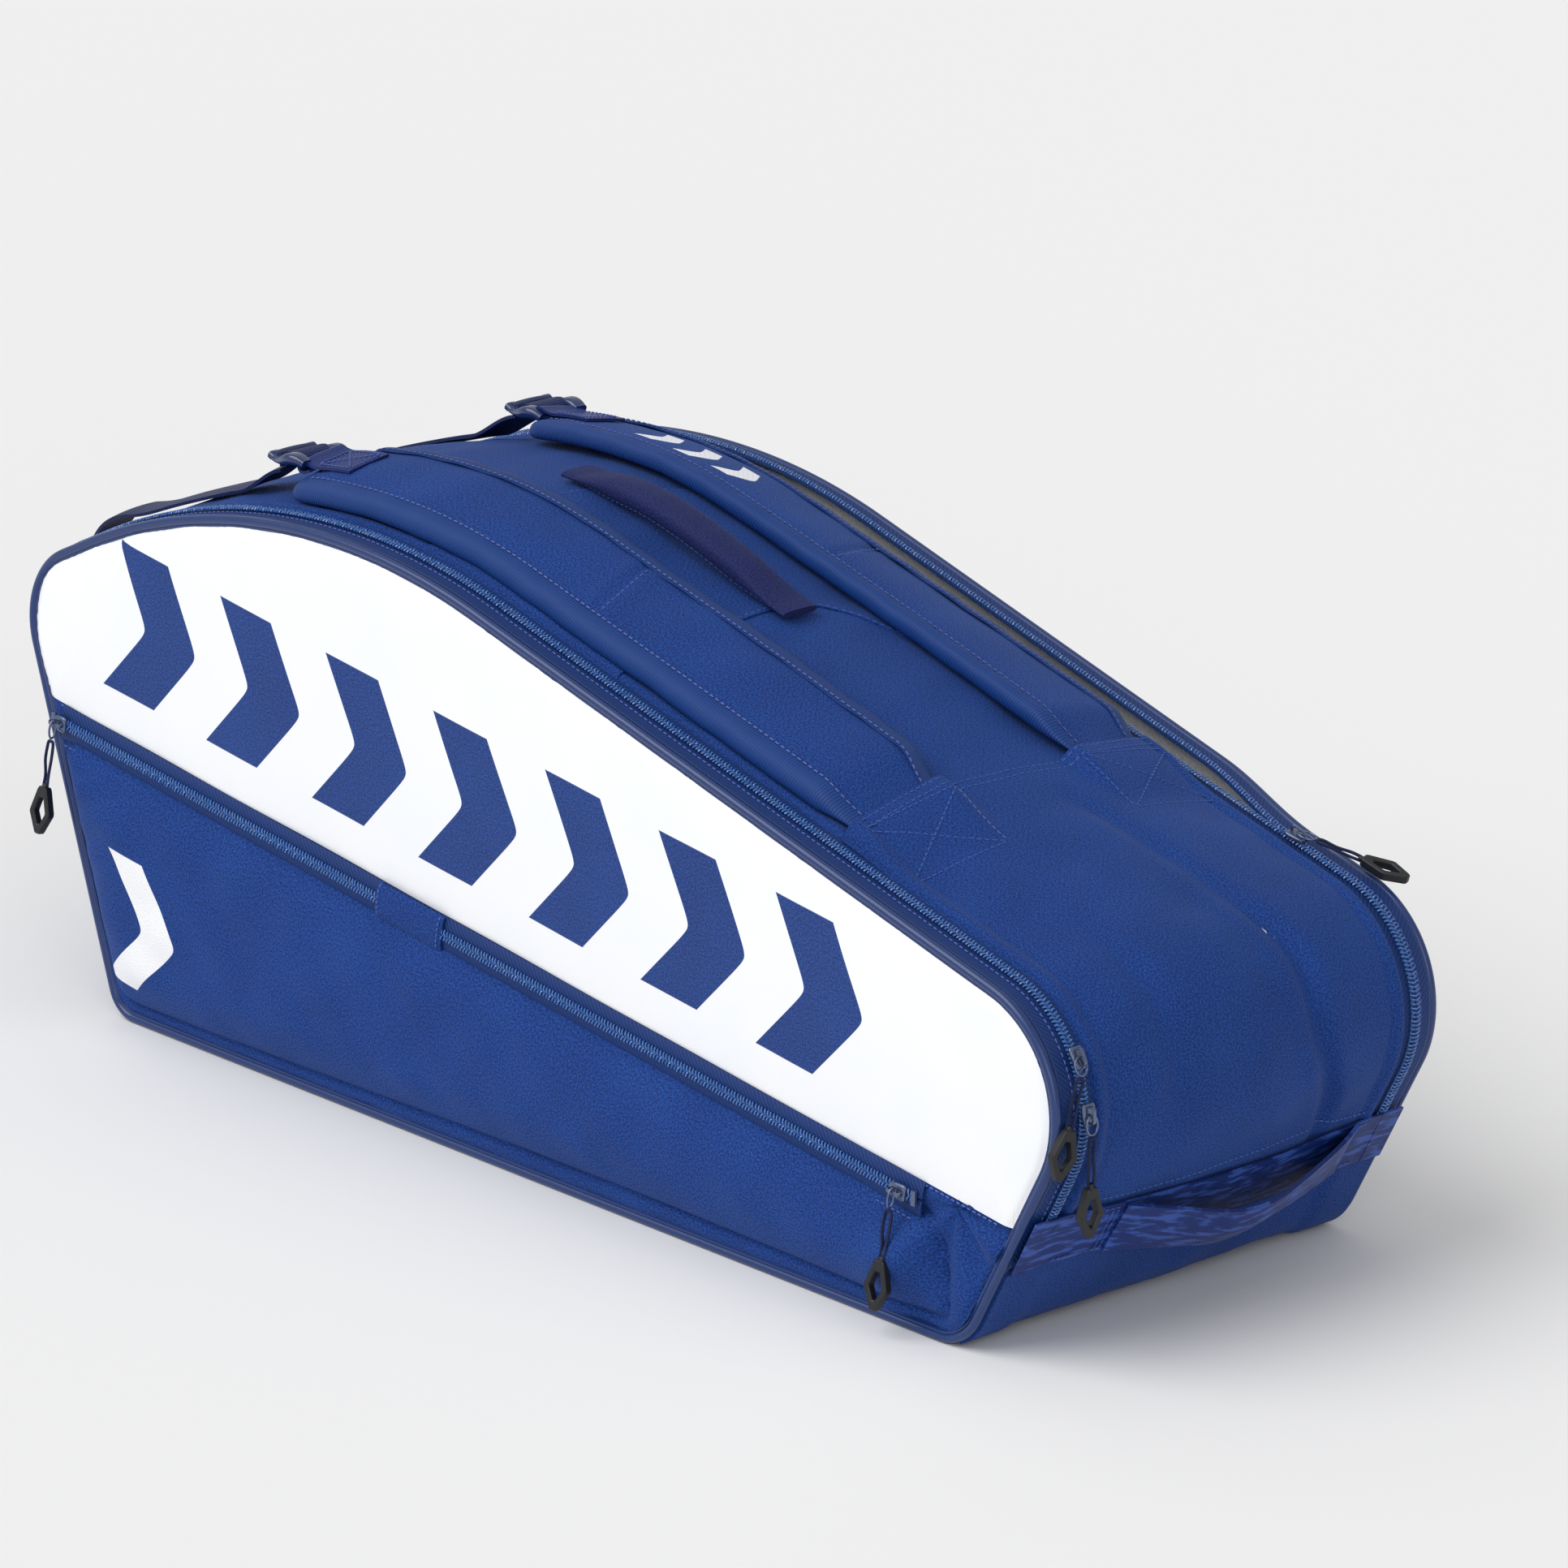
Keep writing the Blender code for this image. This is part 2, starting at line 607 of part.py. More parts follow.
def make_side(materials, side, prefix, hinge):
    """One swinging side panel with its lining, piping, zip half and pocket."""
    panel = outline_polygon(outline_pieces(SIDE_CORNERS, PANEL_INSET))
    door = clipped(panel, lambda point: point.y - FOLD_HEIGHT - CLEARANCE)
    upper = clipped(door, lambda point: field_line(point) - CLEARANCE)
    lower = clipped(door, lambda point: -field_line(point))
    y_low, y_high = sorted((side * PANEL_FACE, side * (PANEL_FACE - PANEL_THICKNESS)))
    place_object(prefix + "_panel", slab(prefix + "_panel", upper, y_low, y_high),
                 materials["white_panel"], hinge.location, hinge)
    place_object(prefix + "_lower_panel", slab(prefix + "_lower_panel", lower, y_low, y_high),
                 materials["blue_fabric"], hinge.location, hinge)

    lining = clipped(outline_polygon(outline_pieces(SIDE_CORNERS, PANEL_INSET + 0.002)),
                     lambda point: point.y - FOLD_HEIGHT - 0.004)
    face = PANEL_FACE - PANEL_THICKNESS - CLEARANCE
    y_low, y_high = sorted((side * face, side * (face - LINING_THICKNESS)))
    place_object(prefix + "_panel_lining", slab(prefix + "_panel_lining", lining, y_low, y_high),
                 materials["grey_lining"], hinge.location, hinge)

    piping_path = outline_pieces(SIDE_CORNERS, PIPING_RADIUS)
    points = []
    for place in outline_stations(piping_path):
        point = point_on(piping_path, place)[0]
        if point.y > FOLD_HEIGHT + PIPING_RADIUS:
            points.append((point.x, side * PIPING_Y, point.y))
    bar = tube(prefix + "_piping", points, PIPING_RADIUS, resolution=1)
    place_object(prefix + "_piping", bar, materials["piping"], hinge.location, hinge)

    widths = [side * (ZIP_COIL_Y + CLEARANCE), side * ZIP_OUTER_Y]
    zip_places = stations(HIGH_END_FOLD + 0.003, LOW_END_FOLD - 0.003)
    name = prefix + "_zip_outer_tape"
    mesh = skin_strip(name, zip_places, widths, level(-ZIP_TAPE_THICKNESS), level(0.0))
    place_object(name, mesh, materials["zip"], hinge.location, hinge)

    name = prefix + "_pocket_panel"
    mesh = make_pouch(name, side, POCKET_EDGE, POCKET_POUCH_RIGHT)
    place_object(name, mesh, materials["blue_fabric"], hinge.location, hinge)


def make_pocket_zips(materials, front_hinge, rear_hinge):
    garage_end = POCKET_MIDDLE + GARAGE_LENGTH
    strips = (
        ("pocket_zip_left", -1.0, POCKET_LEFT, POCKET_MIDDLE - SEAM_GAP, POCKET_ZIP_THICKNESS, "zip"),
        ("pocket_zip_garage", -1.0, POCKET_MIDDLE, garage_end, GARAGE_THICKNESS, "blue_fabric"),
        ("pocket_zip_right", -1.0, garage_end + SEAM_GAP, POCKET_RIGHT, POCKET_ZIP_THICKNESS, "zip"),
        ("rear_pocket_zip", 1.0, POCKET_LEFT, POCKET_RIGHT, POCKET_ZIP_THICKNESS, "zip"),
    )
    for name, side, x_from, x_to, thickness, finish in strips:
        hinge = front_hinge if side < 0.0 else rear_hinge
        mesh = zip_strip(name, side, x_from, x_to, thickness)
        place_object(name, mesh, materials[finish], hinge.location, hinge)


# ---------------------------------------------------------------- sliders, rings and pulls
def slider_mesh():
    """Slider body with the arched bail that its ring hangs in; +X along the zip, +Z outwards."""
    half = SLIDER_LENGTH / 2.0
    top = SLIDER_THICKNESS
    body = [(-half, 0.0), (-half, top * 0.6), (-half * 0.6, top), (half * 0.6, top),
            (half, top * 0.6), (half, 0.0)]
    shape = bmesh.new()
    prism(shape, body, SLIDER_HALF)
    mesh = finished_mesh("slider", shape, smooth=False)
    over = top + BAIL_BAR_HEIGHT + BAIL_BAR_HALF
    under = top + BAIL_BAR_HEIGHT - BAIL_BAR_HALF
    foot = top - 0.0004
    outside = BAIL_LENGTH / 2.0
    inside = outside - BAIL_LEG
    bend = outside - BAIL_SHOULDER
    arch = [(-outside, foot), (-outside, over - BAIL_SHOULDER), (-bend, over), (bend, over),
            (outside, over - BAIL_SHOULDER), (outside, foot), (inside, foot), (inside, under),
            (-inside, under), (-inside, foot)]
    shape = bmesh.new()
    prism(shape, arch, BAIL_HALF)
    bail = finished_mesh("slider_bail", shape, smooth=False)
    return mesh, bail


def ring_points(half_width):
    """Oval wire ring from its hinged end towards -X."""
    steps = 14
    half_length = RING_LENGTH / 2.0
    points = []
    for k in range(steps):
        angle = 2.0 * math.pi * k / steps
        points.append(Vector((half_length * (math.cos(angle) - 1.0), half_width * math.sin(angle), 0.0)))
    return points


def pull_meshes(name):
    """Cord loop and its moulded tab, an open rhombus; both hang along -X from the origin."""
    end = -PULL_CORD_LENGTH
    outer = PULL_CORD_HALF_WIDTH
    inner = outer - 2.0 * PULL_CORD_RADIUS
    bend = -2.0 * PULL_CORD_RADIUS
    loop = [(end, -outer), (0.0, -outer), (0.0, outer), (end, outer),
            (end, inner), (bend, inner), (bend, -inner), (end, -inner)]
    shape = bmesh.new()
    near = [shape.verts.new((x, y, -PULL_CORD_RADIUS)) for x, y in loop]
    far = [shape.verts.new((x, y, PULL_CORD_RADIUS)) for x, y in loop]
    shape.faces.new(near)
    shape.faces.new(list(reversed(far)))
    for k in range(len(loop)):
        following = (k + 1) % len(loop)
        shape.faces.new((near[following], near[k], far[k], far[following]))
    cord = finished_mesh(name, shape, smooth=False)

    tip = end - PULL_TAB_LENGTH
    middle = (end + tip) / 2.0
    wide = PULL_TAB_WIDTH / 2.0
    head = end + 0.001
    outline = [(head, -PULL_TAB_HEAD_HALF), (head, PULL_TAB_HEAD_HALF), (middle, wide),
               (tip, PULL_TAB_TIP_HALF), (tip, -PULL_TAB_TIP_HALF), (middle, -wide)]
    hole = [(middle + (x - middle) * PULL_TAB_RIM, y * PULL_TAB_RIM) for x, y in outline]
    thick = PULL_TAB_THICKNESS / 2.0
    shape = bmesh.new()
    rings = []
    for points, z in ((outline, -thick), (outline, thick), (hole, thick), (hole, -thick)):
        rings.append([shape.verts.new((x, y, z)) for x, y in points])
    for k, ring in enumerate(rings):
        following = rings[(k + 1) % len(rings)]
        for j in range(len(ring)):
            m = (j + 1) % len(ring)
            shape.faces.new((ring[j], ring[m], following[m], following[j]))
    tab = finished_mesh(name + "_tab", shape, smooth=False)
    return cord, tab


def united(item, mesh, name):
    """Unites a second mesh with an object by an exact Boolean."""
    helper = bpy.data.objects.new(name, mesh)
    bpy.context.scene.collection.objects.link(helper)
    helper.parent = item
    helper.hide_render = True
    helper.display_type = "WIRE"
    union = item.modifiers.new("union", "BOOLEAN")
    union.operation = "UNION"
    union.solver = "EXACT"
    union.object = helper


def frame_from(origin, along, outward):
    """Placement with X along a direction and Z outwards."""
    along = Vector(along).normalized()
    outward = Vector(outward)
    outward = (outward - along * outward.dot(along)).normalized()
    across = outward.cross(along)
    matrix = Matrix((along, across, outward)).transposed().to_4x4()
    matrix.translation = Vector(origin)
    return matrix


def make_puller(materials, prefix, label, places, ring_half_width, parent=None):
    """Slider, ring and pull, each at its own placement."""
    body, bail = slider_mesh()
    slider_name, ring_name, pull_name = ["%s_%s_%s" % (prefix, piece, label)
                                         for piece in ("slider", "ring", "pull")]
    slider = place_object(slider_name, body, materials["painted_metal"])
    united(slider, bail, slider_name + "_bail")
    ring = place_object(ring_name, tube(ring_name, ring_points(ring_half_width), RING_WIRE, True, 1),
                        materials["painted_metal"])
    cord, tab = pull_meshes(pull_name)
    pull = place_object(pull_name, cord, materials["pull_plastic"])
    united(pull, tab, pull_name + "_tab")
    for item, place in zip((slider, ring, pull), places):
        if parent is None:
            item.matrix_world = place
        else:
            item.parent = parent
            item.matrix_basis = Matrix.Translation(-parent.location) @ place


def main_zip_places(origin, normal, upward, side, ring_turn, drop):
    """Placements on a main zip: the pull hangs in the direction drop, the ring lies along the zip."""
    slider = frame_from((origin.x, side * ZIP_COIL_Y, origin.y), (upward.x, 0.0, upward.y),
                        (normal.x, 0.0, normal.y))
    ring = slider @ Matrix.Translation((0.0, 0.0, SLIDER_THICKNESS + RING_LIFT)) @ ring_turn
    end = ring @ Vector((-RING_LENGTH - RING_WIRE - CLEARANCE, 0.0, 0.0))
    pull = frame_from(end, -Vector(drop), (normal.x, 0.0, max(normal.y, 0.0)))
    return slider, ring, pull


def make_main_pullers(materials):
    # front zip: two sliders together on the rounded low end
    centre, radius = SIDE[2 * LOW_END_CORNER][2:4]
    for label, (angle, turn, lean) in (("upper", UPPER_SLIDER), ("lower", LOWER_SLIDER)):
        normal = Vector((math.cos(angle), math.sin(angle)))
        origin = centre + normal * (radius + SLIDER_LIFT)
        places = main_zip_places(origin, normal, Vector((-normal.y, normal.x)), -1.0,
                                 Matrix.Rotation(turn, 4, "Z"), (0.0, lean, -1.0))
        make_puller(materials, "front_zip", label, places, RING_HALF_WIDTH)

    # rear zip: one slider on top near the low end, its pull lying down the slope
    point, normal = point_on(SIDE, distance_at_x(REAR_SLIDER_X))
    origin = point + normal * SLIDER_LIFT
    slope = Vector((normal.y, -normal.x))
    places = main_zip_places(origin, normal, -slope, 1.0, Matrix.Rotation(REAR_RING_TURN, 4, "Z"),
                             (slope.x, REAR_PULL_LEAN, slope.y))
    make_puller(materials, "rear_zip", "right", places, RING_HALF_WIDTH)

    # and the other at the far end of its opening, on the high end
    place = distance_where(lambda point: point.y > HIDDEN_SLIDER_HEIGHT, 0.02, HIGH_END_TOP)
    point, normal = point_on(SIDE, place)
    origin = point + normal * SLIDER_LIFT
    places = main_zip_places(origin, normal, Vector((normal.y, -normal.x)), 1.0, Matrix.Identity(4),
                             (0.0, 0.0, -1.0))
    make_puller(materials, "rear_zip", "left", places, RING_HALF_WIDTH)


def pocket_puller_places(x, side):
    """Placements on a pocket zip: the ring hangs round the bail and the pull rests on the pocket."""
    point = zip_line_point(x)
    face = PANEL_FACE + CLEARANCE + POCKET_ZIP_THICKNESS + SLIDER_LIFT
    along = (1.0, 0.0, FIELD_LINE_SLOPE)
    slider = frame_from((point.x, side * face, point.y), along, (0.0, side, 0.0))
    bar = SLIDER_THICKNESS + BAIL_BAR_HEIGHT
    lean = math.tan(POCKET_PULL_LEAN)
    down = Vector((0.0, side * lean, -1.0)).normalized()
    hook = slider @ Vector((0.0, 0.0, bar)) - down * POCKET_RING_HOOK
    ring = frame_from(hook, -down, (1.0, 0.0, 0.0))
    end = ring @ Vector((-RING_LENGTH - RING_WIRE - CLEARANCE, 0.0, 0.0))
    pull = frame_from(end, -down, (0.0, side, 0.0))
    return slider, ring, pull


def make_pocket_pullers(materials, front_hinge, rear_hinge):
    pullers = (
        ("pocket_zip", "left", POCKET_LEFT_SLIDER_X, -1.0, front_hinge),
        ("pocket_zip", "right", POCKET_RIGHT_SLIDER_X, -1.0, front_hinge),
        ("rear_pocket", "right", POCKET_RIGHT_SLIDER_X, 1.0, rear_hinge),
    )
    for prefix, label, x, side, hinge in pullers:
        places = pocket_puller_places(x, side)
        make_puller(materials, prefix, label, places, POCKET_RING_HALF_WIDTH, hinge)


# ---------------------------------------------------------------- straps, handles
def strap_skin(share_across, edge, middle):
    """Thickness of a padded strap across its width."""
    return edge + (middle - edge) * (1.0 - share_across ** 4)


def make_straps(materials):
    end = distance_at_x(STRAP_START_X)
    for side, label in ((-1.0, "front"), (1.0, "rear")):
        start = distance_at_x(STRAP_END_X[label])
        centre = side * STRAP_CENTRE_Y
        widths = [centre + STRAP_HALF * share for share in (-1.0, -0.8, 0.0, 0.8, 1.0)]
        pivot = skin_point(end, centre, STRAP_REST_GAP)
        places = stations(start, end)
        last = places[-1]

        def top(place, y):
            share = (y - centre) / STRAP_HALF
            thickness = strap_skin(share, STRAP_EDGE, STRAP_THICKNESS)
            if place == last or place == places[0]:
                thickness *= 0.6
            return STRAP_REST_GAP + thickness

        name = "shoulder_strap_" + label
        mesh = skin_strip(name, places, widths, level(STRAP_REST_GAP), top)
        place_object(name, mesh, materials["blue_fabric"], pivot)

        name = "strap_tab_" + label
        tab_places = stations(start + 0.001, start + 0.001 + TAB_LENGTH)
        tab_widths = [centre - TAB_HALF, centre, centre + TAB_HALF]
        tab_floor = STRAP_REST_GAP + STRAP_THICKNESS + CLEARANCE
        mesh = skin_strip(name, tab_places, tab_widths, level(tab_floor), level(tab_floor + TAB_THICKNESS))
        place_object(name, mesh, materials["webbing"], pivot)

        make_lock(materials, label, start, centre)
        make_strap_webbing(materials, label, start, centre)


def lock_frame(start, centre):
    """Placement of a ladder lock: X towards the high end along the strap, Z out from the bag."""
    point, normal = point_on(SIDE, start - 0.002)
    lift = STRAP_REST_GAP + STRAP_THICKNESS + crown(point, centre)
    origin = point + normal * lift
    return frame_from((origin.x, centre, origin.y), (-normal.y, 0.0, normal.x), (normal.x, 0.0, normal.y))


def make_lock(materials, label, start, centre):
    """Ladder lock: a plate with two slots, thicker at its lifting lip."""
    x_lines = (0.0, LOCK_BAR, LOCK_MIDDLE_BAR, LOCK_MIDDLE_BAR + LOCK_BAR, LOCK_LIP, LOCK_LENGTH)
    y_lines = (-LOCK_HALF, -LOCK_HALF + LOCK_BAR, LOCK_HALF - LOCK_BAR, LOCK_HALF)
    heights = (0.0, 0.0, 0.0012, 0.0012, 0.0008, LOCK_LIP_HEIGHT)
    slots = ((1, 1), (3, 1))
    shape = bmesh.new()
    top = [[shape.verts.new((x, y, height + LOCK_THICKNESS)) for y in y_lines]
           for x, height in zip(x_lines, heights)]
    bottom = [[shape.verts.new((x, y, height)) for y in y_lines] for x, height in zip(x_lines, heights)]
    rows = len(x_lines) - 1
    columns = len(y_lines) - 1

    def solid(i, j):
        return 0 <= i < rows and 0 <= j < columns and (i, j) not in slots

    for i in range(rows):
        for j in range(columns):
            if not solid(i, j):
                continue
            shape.faces.new((top[i][j], top[i + 1][j], top[i + 1][j + 1], top[i][j + 1]))
            shape.faces.new((bottom[i][j], bottom[i][j + 1], bottom[i + 1][j + 1], bottom[i + 1][j]))
            sides = (((i - 1, j), (i, j), (i, j + 1)), ((i + 1, j), (i + 1, j), (i + 1, j + 1)),
                     ((i, j - 1), (i, j), (i + 1, j)), ((i, j + 1), (i, j + 1), (i + 1, j + 1)))
            for beside, (a, b), (c, d) in sides:
                if not solid(*beside):
                    shape.faces.new((top[a][b], bottom[a][b], bottom[c][d], top[c][d]))
    name = "ladder_lock_" + label
    frame = lock_frame(start, centre)
    item = place_object(name, finished_mesh(name, shape, smooth=False), materials["buckle_plastic"])
    item.matrix_world = frame


def make_strap_webbing(materials, label, start, centre):
    """Webbing from the ladder lock round the high end to its seam there."""
    name = "strap_webbing_" + label
    anchor = distance_where(lambda point: point.y > WEBBING_ANCHOR_HEIGHT, 0.02, HIGH_END_TOP)
    near = start - LOCK_LENGTH - 0.0035
    places = stations(anchor, near)
    span = near - anchor

    def lift(place, y):
        share = (place - anchor) / span
        sag = WEBBING_SLACK * math.sin(math.pi * share) ** 2
        return CLEARANCE * 3.0 + WEBBING_END_LIFT * share ** 0.6 + sag

    widths = [centre - WEBBING_HALF, centre, centre + WEBBING_HALF]
    mesh = skin_strip(name, places, widths, lift, lambda place, y: lift(place, y) + WEBBING_THICKNESS)
    place_object(name, mesh, materials["webbing"])


def make_carry_handle(materials):
    """Padded tube arched over the middle of the top."""
    low = skin_point(distance_at_x(HANDLE_LOW_X), 0.0, HANDLE_RADIUS + 0.002)
    high = skin_point(distance_at_x(HANDLE_HIGH_X), 0.0, HANDLE_RADIUS + 0.002)
    axis = low - high
    upward = Vector((-axis.z, 0.0, axis.x)).normalized()
    steps = 18
    points = []
    for k in range(steps + 1):
        share = k / steps
        rise = HANDLE_RISE * (1.0 - (2.0 * share - 1.0) ** 4)
        points.append(high + axis * share + upward * rise)
    bar = tube("carry_handle", points, HANDLE_RADIUS, resolution=3)
    place_object("carry_handle", bar, materials["handle_fabric"], (low + high) / 2.0)


def make_end_handle(materials):
    """Webbing grab loop across the low end, and the sewn webbing on either side of it."""
    middle = distance_where(lambda point: point.y < END_HANDLE_HEIGHT, LOW_END_TOP, LOW_END_BOTTOM)
    places = [middle - END_WEBBING_HALF, middle, middle + END_WEBBING_HALF]
    span = END_HANDLE_REAR_Y - END_HANDLE_FRONT_Y

    def bow(place, y):
        share = (y - END_HANDLE_FRONT_Y) / span
        return END_HANDLE_LIFT + END_HANDLE_BOW * math.sin(math.pi * share) ** 0.8

    def outer_bow(place, y):
        return bow(place, y) + END_WEBBING_THICKNESS

    steps = 14
    widths = [END_HANDLE_FRONT_Y + span * k / steps for k in range(steps + 1)]
    mesh = skin_strip("end_handle", places, widths, bow, outer_bow)
    upper_edge = skin_point(places[0], 0.0, END_HANDLE_LIFT)
    place_object("end_handle", mesh, materials["webbing"], upper_edge)

    widths = evenly(-GUSSET_HALF, GUSSET_HALF, 0.018)
    mesh = skin_strip("end_webbing", places, widths, level(LAYER_GAP), level(LAYER_GAP + END_WEBBING_SEWN))
    place_object("end_webbing", mesh, materials["webbing"])


# ---------------------------------------------------------------- the bag
def make_hinge(name, side):
    hinge = bpy.data.objects.new(name, None)
    bpy.context.scene.collection.objects.link(hinge)
    hinge.location = (0.0, side * PANEL_FACE, FOLD_HEIGHT)
    return hinge


def make_bag():
    materials = {name: make_material(name) for name in PALETTE}
    front_hinge = make_hinge("front_fold", -1.0)
    rear_hinge = make_hinge("rear_fold", 1.0)
    make_shell(materials)
    make_bands(materials)
    make_side(materials, -1.0, "front", front_hinge)
    make_side(materials, 1.0, "rear", rear_hinge)
    make_pocket_zips(materials, front_hinge, rear_hinge)
    make_main_pullers(materials)
    make_pocket_pullers(materials, front_hinge, rear_hinge)
    make_straps(materials)
    make_carry_handle(materials)
    make_end_handle(materials)
    rear_hinge.rotation_euler = (-REAR_AJAR, 0.0, 0.0)


for leftover in list(bpy.data.objects):
    bpy.data.objects.remove(leftover)
make_bag()
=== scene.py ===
"""Looks of a racket tournament bag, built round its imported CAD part.

+X runs along the bag towards its low end, -Y is the front side and +Z is up. Everything is in metres.
"""

import math

import bmesh
import bpy
import numpy as np
from mathutils import Matrix, Vector


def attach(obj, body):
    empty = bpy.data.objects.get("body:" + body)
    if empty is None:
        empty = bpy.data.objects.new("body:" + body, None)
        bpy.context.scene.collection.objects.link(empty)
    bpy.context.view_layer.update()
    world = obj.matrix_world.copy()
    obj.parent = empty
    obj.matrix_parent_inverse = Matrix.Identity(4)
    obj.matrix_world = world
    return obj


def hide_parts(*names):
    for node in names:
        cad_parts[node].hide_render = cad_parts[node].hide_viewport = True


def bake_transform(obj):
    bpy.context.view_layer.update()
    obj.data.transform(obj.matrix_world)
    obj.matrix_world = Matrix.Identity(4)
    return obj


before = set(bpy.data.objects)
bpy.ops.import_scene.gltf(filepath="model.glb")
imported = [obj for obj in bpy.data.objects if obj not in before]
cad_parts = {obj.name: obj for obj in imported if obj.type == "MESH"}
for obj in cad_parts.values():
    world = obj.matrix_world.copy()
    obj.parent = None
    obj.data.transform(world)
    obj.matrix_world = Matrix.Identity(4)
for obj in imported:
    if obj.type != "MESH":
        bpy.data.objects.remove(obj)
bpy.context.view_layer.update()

# ---------------------------------------------------------------- driving dimensions, as in the CAD
SIDE_CORNERS = ((-0.308, 0.0, 0.02), (-0.39, 0.225, 0.045), (-0.19, 0.326, 0.42), (0.4, 0.167, 0.062),
                (0.317, 0.0, 0.03))    # x, z and rounding
PANEL_FACE = 0.1325
PANEL_INSET = 0.0058
PIPING_RADIUS = 0.0025
PIPING_Y = 0.1304
FOLD_HEIGHT = 0.05
REAR_AJAR = math.radians(4)
GUSSET_HALF = 0.108
GUSSET_CROWN = 0.018
CROWN_FULL_HEIGHT = 0.25
CROWN_SLACK = 0.5
CROWN_SLACK_X = -0.25
CROWN_TAUT_X = -0.09
BASE_WIDE = 0.1282
ZIP_COIL_Y = 0.1153
ZIP_OUTER_Y = 0.1272
FIELD_LINE_HEIGHT = 0.116
FIELD_LINE_SLOPE = -0.13
POCKET_ZIP_DROP = 0.009
POCKET_LEFT = -0.352
POCKET_RIGHT = 0.285
GARAGE_LEFT = -0.1
GARAGE_RIGHT = -0.051
STRAP_CENTRE_Y = 0.073
STRAP_HALF = 0.032
STRAP_CORNER = 0.014
STRAP_END_X = {"front": -0.21, "rear": -0.192}
STRAP_START_X = 0.213         # under the yoke, past the seam that the strap lifts from
STRAP_REST_GAP = 0.0015
STRAP_THICKNESS = 0.01
TAB_HALF = 0.0135
LOCK_LENGTH = 0.027
LOCK_HALF = 0.0175
WEBBING_HALF = 0.0125
WEBBING_ANCHOR_HEIGHT = 0.17
HANDLE_LOW_X = 0.044
HANDLE_HIGH_X = -0.098
HANDLE_RISE = 0.013
END_HANDLE_HEIGHT = 0.062
END_WEBBING_HALF = 0.016
END_HANDLE_FRONT_Y = -0.07
END_HANDLE_REAR_Y = 0.094
END_HANDLE_BOW = 0.014
END_HANDLE_LIFT = 0.0035
SLIDER_THICKNESS = 0.0026
SLIDER_LIFT = 0.0022
RING_LENGTH = 0.0095
RING_WIRE = 0.0006
RING_LIFT = 0.0012
PULL_CORD_LENGTH = 0.026
PULL_TAB_LENGTH = 0.024
BAIL_BAR_HEIGHT = 0.0028

# ---------------------------------------------------------------- of the looks only
TURN = 2 * math.pi
FINE = (0.0036, 0.0024)       # pitch and length of the small stitches
COIL_PITCH = 0.0021
COIL_WIRE = 0.00052
COIL_STEPS = 8                # points to a turn of the coil
FIELD_LEAN = math.atan(FIELD_LINE_SLOPE)


# ---------------------------------------------------------------- numbers
def ease(value, low, high):
    """0 below low, 1 above high and a smooth step between them."""
    share = np.clip((value - low) / (high - low), 0, 1)
    return share * share * (3 - 2 * share)


def between(value, low, full, fading, gone):
    """1 from full to fading, easing to 0 at low and at gone."""
    return ease(value, low, full) * (1 - ease(value, fading, gone))


def bump(value, centre, width):
    """Smooth hump of height 1 about a centre."""
    return np.exp(-((value - centre) / width) ** 2)


def ripple(a, b, wavelength, seed, waves=7):
    """Smooth irregular relief, about -1 to 1, over two coordinates."""
    source = np.random.default_rng(seed)
    total = 0
    for _ in range(waves):
        heading, phase = source.uniform(0, TURN, 2)
        size = wavelength * source.uniform(0.7, 1.6)
        total = total + np.sin(TURN * (a * math.cos(heading) + b * math.sin(heading)) / size + phase)
    return total / math.sqrt(2 * waves)


def unit(vectors):
    return vectors / np.maximum(np.linalg.norm(vectors, axis=-1, keepdims=True), 1e-9)


def joined(*parts):
    """Coordinates spread over one grid and put together into points."""
    return np.stack(np.broadcast_arrays(*parts), axis=-1)


def around(count, total=TURN):
    """Even steps round something closed."""
    return np.linspace(0, total, count, endpoint=False)


def squared(wave, power):
    """Makes a cosine or sine fuller, for rounded squares."""
    return np.sign(wave) * np.abs(wave) ** power


